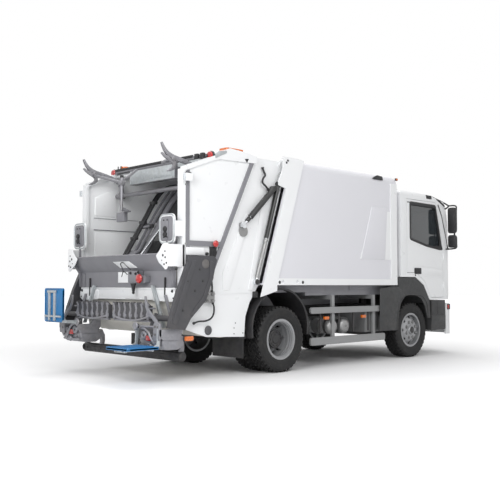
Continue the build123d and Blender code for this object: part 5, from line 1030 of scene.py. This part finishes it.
# Valve block, and the hoses with their fittings
block = Piece("valve_block", "steel")
block.prism(pad(-1.295, -1.15, 0.93, 1.06, 0.01), "y", -1.055, -1.098)
for x, z in grid((-1.265, -1.185), (1.035, 0.955)):
    block.rod((x, -1.096, z), (x, -1.122, z), 0.021, 16)
    block.nut((x, -1.12, z), (0, -1, 0), 0.015, 0.014)
block.rod((-1.16, -1.078, 0.925), (-1.16, -1.078, 1.07), 0.018, 16)
block.done(0.003)
HOSES = (
    # name, diameter, points
    ("hose_valve_up", 0.022, ((-1.19, 1.09, 1.06), (-1.188, 1.094, 1.12), (-1.205, 1.098, 1.22),
                              (-1.235, 1.094, 1.3), (-1.262, 1.086, 1.36))),
    ("hose_valve_down", 0.022, ((-1.178, 1.09, 0.935), (-1.16, 1.096, 0.88), (-1.168, 1.1, 0.8),
                                (-1.215, 1.102, 0.742), (-1.3, 1.1, 0.715), (-1.4, 1.096, 0.712),
                                (-1.48, 1.088, 0.69))),
    ("hose_cylinder", 0.026, ((-0.301, 1.066, 2.68), (-0.283, 1.074, 2.625), (-0.268, 1.086, 2.575),
                              (-0.318, 1.094, 2.52), (-0.322, 1.094, 2.47), (-0.262, 1.09, 2.43),
                              (-0.205, 1.086, 2.385))),
    ("hose_hinge", 0.02, ((0.03, 1.09, 2.64), (0.024, 1.09, 2.6), (0.004, 1.088, 2.555),
                           (-0.006, 1.086, 2.515))),
)
for name, diameter, points in HOSES:
    for hand in hands():
        line = Piece(f"{name}_{hand}", "black_plastic")
        line.loft(smooth_path(points, 8), diameter / 2, 12)
        for end, nearby in ((0, 1), (-1, -2)):
            a, b = Vector(points[end]), Vector(points[nearby])
            reach = (b - a).normalized() * 0.022
            line.loft([a, a + reach], diameter * 0.72, 12)
        line.done()


# Rear steps, castings and underrun bar
STEP_HINGE = Vector((-1.965, 0, 0.665))
from_hinge = Matrix.Translation(STEP_HINGE)
fold = from_hinge @ Matrix.Rotation(math.radians(90), 4, "Y") @ from_hinge.inverted()
for hand in hands():
    body = f"step_{hand}"
    turn = fold if hand == "left" else None
    board = Piece(f"step_board_{hand}", "step_blue", body)
    frame_parts = Piece(f"step_frame_{hand}", "galvanised", body)
    pads = Piece(f"step_hinge_{hand}", "cast_grey", body)
    for piece in (board, frame_parts, pads):
        piece.turn = turn
    outline = pad(-2.404, -1.968, 0.64, 1.09, 0.03)
    board.prism(outline, "z", 0.42, 0.44)
    inner = pad(-2.392, -1.98, 0.652, 1.078, 0.022)
    board.frame(outline, inner, "z", 0.415, 0.447)
    for number in range(13):
        x = -2.375 + number * 0.031
        board.block((x, 0.662, 0.44), (x + 0.012, 1.068, 0.4455))
    board.done(0.0015, replaces=(f"crew_step_{hand}",))
    for y in (0.648, 1.066):
        frame_parts.prism(rounded([(-1.985, 0.69), (-1.945, 0.69), (-1.94, 0.655), (-1.962, 0.42),
                                   (-2.06, 0.416), (-2.062, 0.432), (-1.995, 0.47)], 0.008), "y", y - 0.007,
                          y + 0.007)
        pads.rod((-1.965, y - 0.012, 0.665), (-1.965, y + 0.012, 0.665), 0.0255, 24)
    frame_parts.rod((-2.04, 0.66, 0.405), (-2.04, 1.06, 0.405), 0.012, 14)
    for y in (0.8, 0.93):
        frame_parts.block((-2.375, y, 0.398), (-1.985, y + 0.04, 0.42))
    frame_parts.block((-2.375, 0.78, 0.392), (-2.345, 0.99, 0.41))
    frame_parts.done(0.002)
    pads.done(0.002)

STEP_HOOK = (
    (0.805, 1.015, 0.008), (0.812, 0.96, 0.013), (0.828, 0.9, 0.017), (0.86, 0.85, 0.02),
    (0.905, 0.81, 0.022), (0.96, 0.77, 0.022), (1.01, 0.73, 0.022), (1.05, 0.68, 0.02),
)
castings = Piece("step_castings", "galvanised", material=DULL_ZINC)
rings = Piece("casting_bolts", "cast_grey")
lamps = Piece("rear_lamps", "red_plastic")
cases = Piece("rear_lamp_cases", "dark_plastic")
ambers = Piece("side_lamps_rear", "amber_plastic")
for hand in hands():
    face = -1.937
    for y, z, radius in ((0.76, 0.56, 0.052), (0.985, 0.52, 0.064), (0.88, 0.445, 0.038)):
        castings.lathe([(0, 0), (radius, 0), (radius * 1.05, -0.008), (radius * 0.9, -0.024),
                        (radius * 0.6, -0.03), (radius * 0.55, -0.02), (0, -0.02)], (face, y, z), "x", 28)
    castings.tube([(face - 0.008, 0.7, 0.64), (face - 0.02, 0.78, 0.64), (face - 0.02, 0.86, 0.6),
                   (face - 0.02, 0.9, 0.54), (face - 0.008, 0.98, 0.45)], 0.016, 12, 6)
    castings.tube([(face - 0.008, 1.05, 0.64), (face - 0.022, 1.02, 0.6), (face - 0.022, 1.06, 0.54),
                   (face - 0.008, 1.05, 0.47)], 0.015, 12, 6)
    castings.prism(rounded([(0.66, 0.43), (0.8, 0.412), (1.05, 0.43), (1.06, 0.455),
                            (0.8, 0.445), (0.66, 0.455)], 0.008), "x", face - 0.014, face + 0.01)
    castings.lathe([(0, 0), (0.046, 0), (0.05, -0.01), (0.042, -0.02), (0, -0.02)], (-1.985, 0.648, 0.665),
                   "x", 24)
    strap(castings, STEP_HOOK, "x", -1.975, -1.955)
    castings.prism(rounded([(0.985, 0.5), (1.1, 0.52), (1.1, 0.7), (1.04, 0.735),
                            (0.985, 0.7)], 0.02), "x", -1.985, -1.955)
    for y, z in ((0.76, 0.56), (0.985, 0.52), (1.018, 0.67), (1.018, 0.58), (0.7, 0.475), (0.9, 0.475)):
        rings.nut((-1.955 if y < 1.0 else -1.983, y, z), (-1, 0, 0), 0.012, 0.01)
    cases.prism(pad(0.795, 0.905, 0.495, 0.565, 0.01), "x", -1.952, -1.93)
    lamps.prism(pad(0.802, 0.898, 0.501, 0.559, 0.008), "x", -1.957, -1.951)
    ambers.prism(pad(-1.618, -1.498, 0.492, 0.546, 0.012), "y", 1.095, 1.122)
    cases.prism(pad(-1.625, -1.49, 0.484, 0.554, 0.012), "y", 1.04, 1.1)
castings.done(0.003)
rings.done(0.001)
lamps.done(0.001, replaces=("tail_lamps",))
cases.done(0.003)
ambers.done(0.004)

guides = Piece("bin_guides", "frame_grey")
guide_ends = Piece("bin_guide_edges", "galvanised")
for hand in hands():
    for y_top, z_top, y_low, z_low, half in ((0.64, 1.14, 0.87, 0.64, 0.018),
                                             (0.872, 1.03, 1.025, 0.64, 0.022)):
        points = [(y_top - half, z_top), (y_top + half, z_top), (y_low + half, z_low), (y_low - half, z_low)]
        target = guides if half > 0.02 else guide_ends
        target.plate(points, 0.008, "x", -1.735 if half > 0.02 else -1.76, -1.718)
guides.done(0.003)
guide_ends.done(0.003)

UNDERRUN = (-1.642, -1.568, 0.248, 0.364)
bar = Piece("underrun_sleeve", "black_plastic")
x_low, x_high, z_low, z_high = UNDERRUN
outline = [(x_low, z_low + 0.018), (x_low + 0.018, z_low), (x_high - 0.006, z_low), (x_high, z_low + 0.006),
           (x_high, z_high - 0.006), (x_high - 0.006, z_high), (x_low + 0.018, z_high),
           (x_low, z_high - 0.018)]
bar.prism(outline, "y", -1.044, 1.044)
for hand in hands():
    bar.lathe([(0, 0), (0.052, 0), (0.052, 0.012), (0.04, 0.022), (0, 0.024)],
              (-1.605, 1.043, 0.306), "y", 28)
bar.prism([(x_low - 0.006, 0.29), (x_low, 0.284), (x_low, 0.328), (x_low - 0.006, 0.322)], "y", -1.0, 1.0)
for y in (-0.95, -0.62, -0.2, 0.2, 0.62, 0.95):
    bar.nut((x_low - 0.005, y, 0.306), (-1, 0, 0), 0.011, 0.008)
bar.done(0.003)
flap = Piece("belly_flap", "black_plastic")
flap.prism(pad(-0.185, 0.119, 0.385, 0.53, 0.01), "x", -1.512, -1.498)
flap.block((-1.498, -0.04, 0.49), (-1.46, 0.04, 0.53))
flap.done(0.002)

# Castings that carry the rear steps, and the underrun bar's two hooks on each side
plates = Piece("rear_guard_castings", "galvanised", material=DULL_ZINC)
BRACKET = ((-1.991, 0.575), (-1.925, 0.512), (-1.7, 0.512), (-1.64, 0.6), (-1.64, 0.79), (-1.7, 0.815),
           (-1.79, 0.64), (-1.991, 0.64))
HOUSING = ((-1.925, 0.56), (-1.925, 0.45), (-1.88, 0.4), (-1.7, 0.396), (-1.615, 0.45), (-1.615, 0.545),
           (-1.65, 0.56))
HOOK = ((-1.66, 0.56), (-1.6, 0.56), (-1.56, 0.48), (-1.558, 0.4), (-1.585, 0.3), (-1.64, 0.3),
        (-1.618, 0.4), (-1.625, 0.47))
for hand in hands():
    for y_low, y_high in ((0.63, 0.646), (1.084, 1.1)):
        plates.plate(BRACKET, 0.012, "y", y_low, y_high)
    plates.plate(HOUSING, 0.018, "y", 0.646, 1.084)
    for y in (0.65, 0.99):
        plates.plate(HOOK, 0.015, "y", y, y + 0.036)
    plates.rod((-1.965, 0.635, 0.665), (-1.965, 1.095, 0.665), 0.0125, 20)
plates.done(0.004, replaces=("rear_guard",))


# Roof of the tailgate and body
beam_dark = Piece("roof_rear_rail", "black_plastic")
beam_dark.prism(pad(-1.196, -1.176, 2.742, 2.778, 0.006), "y", -0.72, 0.99)
beam_dark.prism(box(-1.205, -1.19, 2.7, 2.716), "y", -0.93, 0.93)
for y in (-0.93, -0.82):
    beam_dark.prism(pad(y - 0.035, y + 0.035, 2.7, 2.775, 0.01), "x", -1.222, -1.19)
for y in (0.93, 0.86):
    beam_dark.rod((-1.185, y, 2.775), (-1.185, y, 2.815), 0.008, 12)
beam_dark.tube([(-1.215, -0.94, 2.715), (-1.228, -0.97, 2.7), (-1.226, -1.0, 2.705), (-1.205, -1.03, 2.735)],
               0.01, 10, 8)
beam_dark.done(0.002)
plates = Piece("roof_lamp_plates", "galvanised")
plates.prism(pad(-0.435, 0.545, 2.512, 2.69, 0.012), "x", -1.2535, -1.251)
plates.prism(pad(-0.385, 0.495, 2.545, 2.665, 0.02), "x", -1.253, -1.259)
plates.block((-1.255, -0.93, 2.64), (-1.19, -0.5, 2.695))
plates.block((-1.215, -0.9, 2.6), (-1.165, -0.55, 2.645))
ROOF_EAR = ((-1.15, 2.69), (-1.06, 2.735), (-0.96, 2.778), (-0.96, 2.808), (-1.085, 2.79), (-1.15, 2.752))
for y in (-1.106, 1.085):
    plates.plate(ROOF_EAR, 0.006, "y", y, y + 0.021)
for y in (-0.4, 0.0, 0.5):
    plates.nut((-1.258, y, 2.53), (-1, 0, 0), 0.01, 0.008)
plates.done(0.003)
red = Piece("roof_red_lamps", "red_plastic")
sockets = Piece("roof_lamp_sockets", "dark_plastic")
for hand in hands():
    y = 1.045
    sockets.rod((-1.15, y, 2.735), (-1.178, y, 2.735), 0.054, 28)
    red.lathe([(0, 0), (0.047, 0), (0.047, -0.014), (0.038, -0.026), (0, -0.03)], (-1.178, y, 2.735), "x", 32)
red.done(0.001)
sockets.done(0.002)
bases = Piece("beacon_bases", "galvanised")
bases.block((-0.945, -1.085, 2.805), (-0.64, -0.915, 2.822))
bases.lathe([(0, 0), (0.07, 0), (0.07, 0.012), (0, 0.012)], (-1.06, 0.96, 2.782), "z", 32)
bases.done(0.003)
ambers = Piece("beacon_lenses", "amber_plastic")
for number in range(9):
    x = -0.925 + number * 0.0305
    ambers.prism(pad(x, x + 0.0265, -1.0765, -0.9235, 0.004), "z", 2.824, 2.8595)
for level in (2.79, 2.802, 2.812):
    ambers.lathe(box(0.052, 0.0615, level, level + 0.006), (-1.06, 0.96, 0), "z", 36)
ambers.done(0.002)

# Body: hinge bolts, the roof hump, side seams, marker lamps and the slot above the frame
body_trim = Piece("body_trim", "white_paint", "chassis")
HUMP = ((0.5, 2.834), (0.56, 2.852), (0.64, 2.858), (0.76, 2.858), (0.83, 2.85), (0.88, 2.834))
body_trim.plate(HUMP, 0.02, "y", -0.32, 0.32)
# The creases take the side panel's darker copy of the white paint, which is painted shade.
creases = Piece("body_creases", "white_paint", "chassis", SPECIAL["body_shell"])
for hand in hands():
    face = 1.1205
    rib = [(1.692, 1.528), (2.297, 1.527), (2.357, 2.34), (1.969, 2.326)]
    creases.prism(rounded(rib, 0.015, 3), "y", face, 1.129, 0.985)
    body_trim.prism(box(0.01, 2.59, 1.165, 1.18), "y", face, 1.124)
body_trim.done(0.0025)
creases.done(0.0025)
dark = Piece("body_fittings", "black_plastic", "chassis")
for hand in hands():
    for x, z in ((0.113, 2.805), (0.086, 2.775)):
        dark.nut((x, 1.1355, z), (0, 1, 0), 0.012, 0.009)
    wedge = [(1.99, 2.745), (2.24, 2.745), (2.225, 2.8), (2.1, 2.812), (2.01, 2.775)]
    dark.plate(wedge, 0.01, "y", 1.12, 1.137)
    dark.prism(pad(2.585, 2.635, 2.775, 2.815, 0.008), "y", 1.11, 1.128)
    for x in (-0.049, 0.404):
        dark.rod((x, 1.125, 1.181), (x, 1.1375, 1.181), 0.0215, 28)
dark.done(0.002)
marks = Piece("body_marker_lamps", "amber_plastic", "chassis")
for hand in hands():
    marks.prism(pad(2.59, 2.63, 2.782, 2.81, 0.006), "y", 1.124, 1.14)
    for x in (0.9, 1.741):
        marks.prism(pad(x - 0.045, x + 0.045, 0.664, 0.706, 0.008), "y", 1.108, 1.142)
marks.done(0.003)
skirt = Piece("body_underseam", "frame_grey", "chassis")
for hand in hands():
    skirt.block((-0.02, 1.012, 1.045), (0.99, 1.02, 1.14))
    skirt.block((1.55, 1.012, 1.075), (2.1, 1.02, 1.14))
skirt.done(0.002)

# Cylinders: the lift rod's cover, its foot and the packer rod's gland
for hand in hands():
    sleeve = Piece(f"lift_rod_cover_{hand}", "steel", f"lift_rod_{hand}")
    sleeve.loft([(-0.416, 1.084, 1.231), (-0.2545, 1.086, 1.741)], 0.0255, 24)
    sleeve.loft([(-0.266, 1.086, 1.705), (-0.256, 1.086, 1.7365)], 0.0285, 24)
    sleeve.done(0.002)
    foot = Piece(f"lift_rod_foot_{hand}", "cylinder_black", f"lift_rod_{hand}")
    foot.lathe([(0, 0), (0.036, 0), (0.036, 0.006), (0.02, 0.01), (0, 0.01)],
               (-0.431, 1.1055, 1.183), "y", 28)
    foot.done(0.001)
    gland = Piece(f"packer_rod_gland_{hand}", "cylinder_black", f"packer_rod_{hand}")
    gland.loft([(-0.567, 1.104, 1.998), (-0.62, 1.104, 1.9525)], 0.029, 24)
    gland.done(0.002)


# Chassis between the wheels
domes = Piece("air_tank_ends", "steel", "chassis")
for x in (1.13, 1.401):
    domes.lathe([(0, -1.078), (0.04, -1.076), (0.075, -1.066), (0.098, -1.048), (0.106, -1.025),
                 (0.106, -0.85), (0, -0.85)], (x, 0, 0.552), "y", 40)
    domes.nut((x, -1.077, 0.552), (0, -1, 0), 0.016, 0.016)
domes.done()
straps = Piece("tank_straps", "chassis_grey", "chassis")
for hand in hands():
    for x in (0.86, 1.265, 1.6, 1.95):
        straps.block((x - 0.016, 1.045, 0.47), (x + 0.016, 1.056, 0.83))
for x in (1.13, 1.401):
    straps.lathe(box(0.1065, 0.1115, -0.99, -0.955), (x, 0, 0.552), "y", 40)
straps.done(0.002)
lines = Piece("frame_lines", "black_plastic", "chassis")
for hand in hands():
    for level, radius in ((0.845, 0.009), (0.815, 0.007), (0.775, 0.011)):
        lines.tube([(0.3, 0.455, level), (1.1, 0.462, level - 0.01), (1.9, 0.455, level + 0.005),
                    (2.6, 0.455, level)], radius, 8, 10)
lines.done()

# Hems of the rear mudguards
hems = Piece("mudguard_rims", "black_plastic", "chassis")
for hand in hands():
    arc = []
    for step in range(25):
        angle = math.radians(-12 + 204 * step / 24)
        arc.append((0.515 * math.cos(angle) * 1.02 - 0.005, 1.112, 0.585 + 0.505 * math.sin(angle)))
    hems.loft(arc, 0.011, 10)
hems.done()

# Steps to the cab: a dark sheet with its groove across the step openings, which paints the shade of the
# recesses; ribs on the treads
step_shade = Piece("entry_step_recess_shade", "dark_plastic", "chassis")
tread = Piece("entry_step_treads", "galvanised", "chassis")
for hand in hands():
    # Dark sheets across the step openings, in front of the treads, are painted shade.
    for outline in (pad(3.545, 3.93, 0.655, 0.885, 0.02),
                    ((3.508, 0.398), (3.945, 0.428), (3.945, 0.64), (3.535, 0.64))):
        step_shade.prism(outline, "y", 1.1465, 1.152)
    step_shade.block((3.7, 1.15, 0.665), (3.712, 1.156, 0.875))
    for number in range(9):
        x = 3.6 + number * 0.038
        for z in (0.4705, 0.7005):
            tread.block((x, 0.9, z), (x + 0.012, 1.14, z + 0.0055))
step_shade.done(0.003)
tread.done(0.001)
ring = Piece("front_arch_rims", "dark_plastic", "chassis")
for hand in hands():
    y = 1.1395
    ring.loft(smooth_path([(3.458, y, 0.606), (3.424, y, 0.8), (3.368, y, 0.905), (3.25, y, 0.972),
                           (3.09, y, 0.986), (2.83, y, 0.984), (2.7, y, 0.9), (2.64, y, 0.8),
                           (2.595, y, 0.63), (2.584, y, 0.455)], 5), 0.009, 10)
    for x, z in ((2.3, 0.6), (2.45, 0.6), (2.3, 0.9), (2.45, 1.02), (3.4, 1.05)):
        ring.nut((x, 1.139, z), (0, 1, 0), 0.01, 0.006)
    ring.prism([(2.129, 0.454), (2.545, 0.445), (2.562, 0.64), (2.606, 0.81), (2.69, 0.925), (2.79, 0.99),
                (2.7, 1.075), (2.6, 1.12), (2.5, 1.128), (2.137, 1.09)], "y", 1.1385, 1.1445, 0.992)
ring.done(0.002)


# Cab
WINDOW = ((2.952, 1.883), (3.4, 1.797), (3.799, 1.751), (3.82, 1.79), (3.668, 2.43), (2.952, 2.44))
SEAL_OUT = ((-0.026, -0.018), (0, -0.028), (0.026, -0.03), (0.034, 0.01), (0.014, 0.04), (-0.026, 0.04))
SEAL_IN = ((0.012, 0.012), (0, 0.012), (-0.01, 0.012), (-0.016, 0.004), (-0.008, -0.014), (0.012, -0.014))


def grown(outline, steps):
    """An outline with each corner moved by its own step."""
    return [(a + da, b + db) for (a, b), (da, db) in zip(outline, steps)]


black = Piece("cab_black_trim", "black_plastic", "cab")
trim = Piece("cab_white_trim", "white_paint", "cab")
lights = Piece("cab_marker_lamps", "red_plastic", "cab")
for hand in hands():
    door = Piece(f"door_trim_{hand}", "black_plastic", f"door_{hand}")
    skin = Piece(f"door_creases_{hand}", "white_paint", f"door_{hand}")
    face = 1.1475
    proud = 1.1515
    outer = rounded(grown(WINDOW, SEAL_OUT), 0.045)
    inner = rounded(grown(WINDOW, SEAL_IN), 0.038)
    door.frame(outer, inner, "y", 1.132, 1.153)
    door.prism([(3.6, 1.76), (3.84, 1.724), (3.878, 1.742), (3.79, 1.96), (3.776, 1.8), (3.64, 1.79)], "y",
               face, 1.1545)
    door.prism(pad(3.048, 3.232, 1.322, 1.418, 0.016), "y", face, 1.158)
    door.prism(pad(3.058, 3.222, 1.368, 1.408, 0.012), "y", 1.156, 1.164)
    door.rod((3.075, face, 1.3), (3.075, 1.1525, 1.3), 0.012, 18)
    door.block((2.862, face, 2.455), (3.64, 1.15, 2.47))
    door.done(0.0025)
    for points in (((2.87, 1.47), (3.87, 1.408), (3.87, 1.416), (2.87, 1.48)),
                   ((3.24, 1.288), (3.87, 1.255), (3.87, 1.263), (3.24, 1.297))):
        skin.prism(points, "y", face, 1.1505)
    skin.prism(rounded([(3.245, 1.32), (3.86, 1.29), (3.86, 1.395), (3.245, 1.43)], 0.02), "y", face, proud,
               0.99)
    skin.done(0.0012)
    for x in (2.725, 2.79):
        trim.block((x, 1.1475, 1.3), (x + 0.01, 1.151, 2.52))
    black.prism(rounded([(3.77, 2.49), (3.88, 2.3), (4.04, 1.83), (4.085, 1.74), (4.06, 1.735), (3.93, 2.08),
                         (3.86, 2.29), (3.745, 2.48)], 0.008), "y", 1.12, 1.149)
    mirror = Piece(f"mirror_heads_{hand}", "black_plastic", "cab")
    mirror.tube([(3.79, 0.985, 2.6), (3.86, 1.06, 2.585), (3.96, 1.15, 2.52), (3.985, 1.215, 2.478),
                 (3.985, 1.3, 2.474), (3.985, 1.352, 2.455), (3.978, 1.36, 2.38)], 0.0125, 12)
    mirror.tube([(3.955, 1.115, 2.445), (3.975, 1.16, 2.43), (3.985, 1.225, 2.478)], 0.0125, 12)
    mirror.tube([(4.01, 1.1, 1.755), (3.995, 1.17, 1.748), (3.985, 1.29, 1.752),
                 (3.982, 1.352, 1.772), (3.978, 1.356, 1.86)], 0.0125, 12)
    mirror.loft([(3.982, 1.318, 1.9), (3.982, 1.318, 2.1)], 0.013, 14)
    black.loft([(3.625, 1.118, 2.592), (3.8, 1.128, 2.545), (3.96, 1.132, 2.47)], [0.022, 0.028, 0.022], 14)
    black.prism(pad(3.41, 3.565, 2.556, 2.616, 0.012), "y", 1.06, 1.15)
    for foot, head in ((2.004, 2.434), (1.765, 1.976)):
        case = pad(1.24, 1.387, foot, head, 0.045)
        mirror.prism(case, "x", 3.9, 3.945)
        mirror.prism(case, "x", 3.945, 3.972, 0.86)
    mirror.done(0.006, replaces=("mirrors",) if hand == "left" else ())
    black.prism(pad(4.0, 4.1, 0.735, 0.826, 0.01), "y", 1.11, 1.15)
    lights.prism(pad(4.015, 4.06, 0.75, 0.812, 0.008), "y", 1.146, 1.156)
glass = Piece("mirror_glass", "black_plastic", "cab")
for hand in hands():
    for foot, head in ((2.018, 2.42), (1.779, 1.962)):
        glass.prism(pad(1.252, 1.374, foot, head, 0.035), "x", 3.8985, 3.9015)
glass.done(0.001)

# Front: lower grille, panel slots, wipers, lamps and number plate field
for z in (1.18, 1.255, 1.33, 1.405):
    black.prism(pad(-0.62, 0.62, z, z + 0.04, 0.015), "x", 4.2325, 4.2415)
for y in (-0.55, 0.0, 0.55):
    black.tube([(4.222, y - 0.3, 1.735), (4.215, y - 0.05, 1.775), (4.206, y + 0.25, 1.8)], 0.01, 8)
    black.rod((4.216, y - 0.3, 1.735), (4.236, y - 0.3, 1.725), 0.018, 14)
black.prism(pad(-0.98, 0.98, 1.69, 1.73, 0.012), "x", 4.212, 4.236)
black.done(0.002)
trim.prism(pad(-0.7, 0.7, 1.5, 1.64, 0.03), "x", 4.232, 4.242, 0.99)
trim.done(0.002)
lights.done(0.002)
front = Piece("bumper_trim", "black_plastic", "chassis")
for foot, head in ((0.585, 0.69), (0.38, 0.48)):
    front.prism(pad(-0.5, 0.5, foot, head, 0.02), "x", 4.286, 4.2945)
for z in (0.405, 0.435, 0.61, 0.645):
    front.block((4.293, -0.47, z), (4.2985, 0.47, z + 0.012))
front.done(0.002)
clear = Piece("head_lamp_glass", "lamp_clear", "chassis")
rims = Piece("head_lamp_rims", "chassis_grey", "chassis")
orange = Piece("turn_lamps", "amber_plastic", "chassis")
for hand in hands():
    rims.frame(pad(0.562, 0.828, 0.542, 0.698, 0.014), pad(0.574, 0.816, 0.554, 0.686, 0.01), "x", 4.286,
               4.2935)
    for y in (0.625, 0.745):
        clear.lathe([(0, 0.006), (0.03, 0.004), (0.048, 0), (0.048, -0.004), (0, -0.004)], (4.2895, y, 0.62),
                    "x", 36)
    orange.prism(pad(0.795, 0.823, 0.56, 0.68, 0.008), "x", 4.288, 4.293)
rims.done(0.002)
clear.done(0.0008)
orange.done(0.001)
plate = Piece("front_plate_field", "white_paint", "chassis")
plate.prism(pad(-0.26, 0.26, 0.495, 0.575, 0.008), "x", 4.288, 4.293)
plate.done(0.001)

# Windscreen seal
seal = Piece("windscreen_seal", "black_plastic", "cab")
foot = Vector((4.1945, 0, 1.77))
head = Vector((3.995, 0, 2.402))
half = 1.012
edge = []
for across, share in rounded(box(-half, half, 0.0, 1.0), 0.07, 5):
    at = foot + (head - foot) * share
    edge.append((at.x + 0.002, across, at.z))
seal.loft(edge, 0.011, 8, closed=True)
seal.done()

# Seats: crowned cushions with sewn channels, side bolsters and head rests, on their boxes
SEAT_Y = 0.56


def cushion(name, length, width, thick, channels, bolster, place, replaces=()):
    """A padded form: a fine grid pushed out to a crown, with side bolsters, channels and a pinched edge."""
    mesh = bmesh.new()
    across, along = 28, 36
    grid = {}
    for top in (0, 1):
        for i in range(across + 1):
            for k in range(along + 1):
                u = i / across * 2 - 1
                v = k / along * 2 - 1
                edge = max(0.0, 1 - u ** 8) ** 0.5 * max(0.0, 1 - v ** 8) ** 0.5
                pinch = 1 - 0.03 * (abs(u * v) ** 3)
                crown = 0.5 + 0.18 * (1 - u * u) * (1 - v * v)
                crown += bolster * math.exp(-((abs(u) - 0.8) / 0.14) ** 2)
                groove = sum(math.exp(-((v - c) / 0.022) ** 2) for c in channels) if abs(u) < 0.68 else 0
                groove += 1.2 * math.exp(-((abs(u) - 0.64) / 0.025) ** 2)
                height = thick * (crown - 0.07 * groove) if top else -thick * 0.38
                point = (u * width / 2 * pinch, v * length / 2 * pinch, height * edge)
                if top and (i in (0, across) or k in (0, along)):
                    grid[top, i, k] = grid[0, i, k]
                else:
                    grid[top, i, k] = mesh.verts.new(point)
    for top in (0, 1):
        for i in range(across):
            for k in range(along):
                corners = [grid[top, i, k], grid[top, i + 1, k], grid[top, i + 1, k + 1], grid[top, i, k + 1]]
                if len(set(corners)) == 4:
                    mesh.faces.new(corners if top else corners[::-1])
    bmesh.ops.transform(mesh, matrix=Matrix.Translation((AXLE_X, 0, 0)) @ place, verts=mesh.verts)
    bmesh.ops.recalc_face_normals(mesh, faces=mesh.faces)
    made = as_object(mesh, name, "cab", finish["seat_fabric"])
    if replaces:
        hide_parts(*replaces)


def seat_place(x, y, z, lean):
    """Length along the seat's slope: a lean of 0 lies flat with its length along x."""
    turn = Matrix.Rotation(math.radians(-lean), 4, "Y") @ Matrix.Rotation(math.radians(-90), 4, "Z")
    return Matrix.Translation((x, y, z)) @ turn


for side, hand in HANDS:
    y = side * SEAT_Y
    cushion(f"seat_cushion_{hand}", 0.46, 0.47, 0.13, (-0.3, 0.25), 0.16, seat_place(3.165, y, 1.585, 6),
            ("cab_seats",))
    cushion(f"seat_back_{hand}", 0.6, 0.46, 0.12, (-0.45, -0.1, 0.25, 0.6), 0.18,
            seat_place(2.88, y, 1.895, 104))
    cushion(f"head_rest_{hand}", 0.19, 0.27, 0.1, (), 0.04, seat_place(2.818, y, 2.262, 104))
    base = Piece(f"seat_base_{hand}", "dark_plastic", "cab")
    base.prism(rounded([(2.975, 1.3185), (3.33, 1.3185), (3.36, 1.42), (3.36, 1.52), (2.95, 1.5)], 0.02), "y",
               y - 0.2, y + 0.2)
    for across in (-0.07, 0.07):
        base.rod((2.845, y + across, 2.1), (2.825, y + across, 2.22), 0.008, 12)
    base.done(0.006)
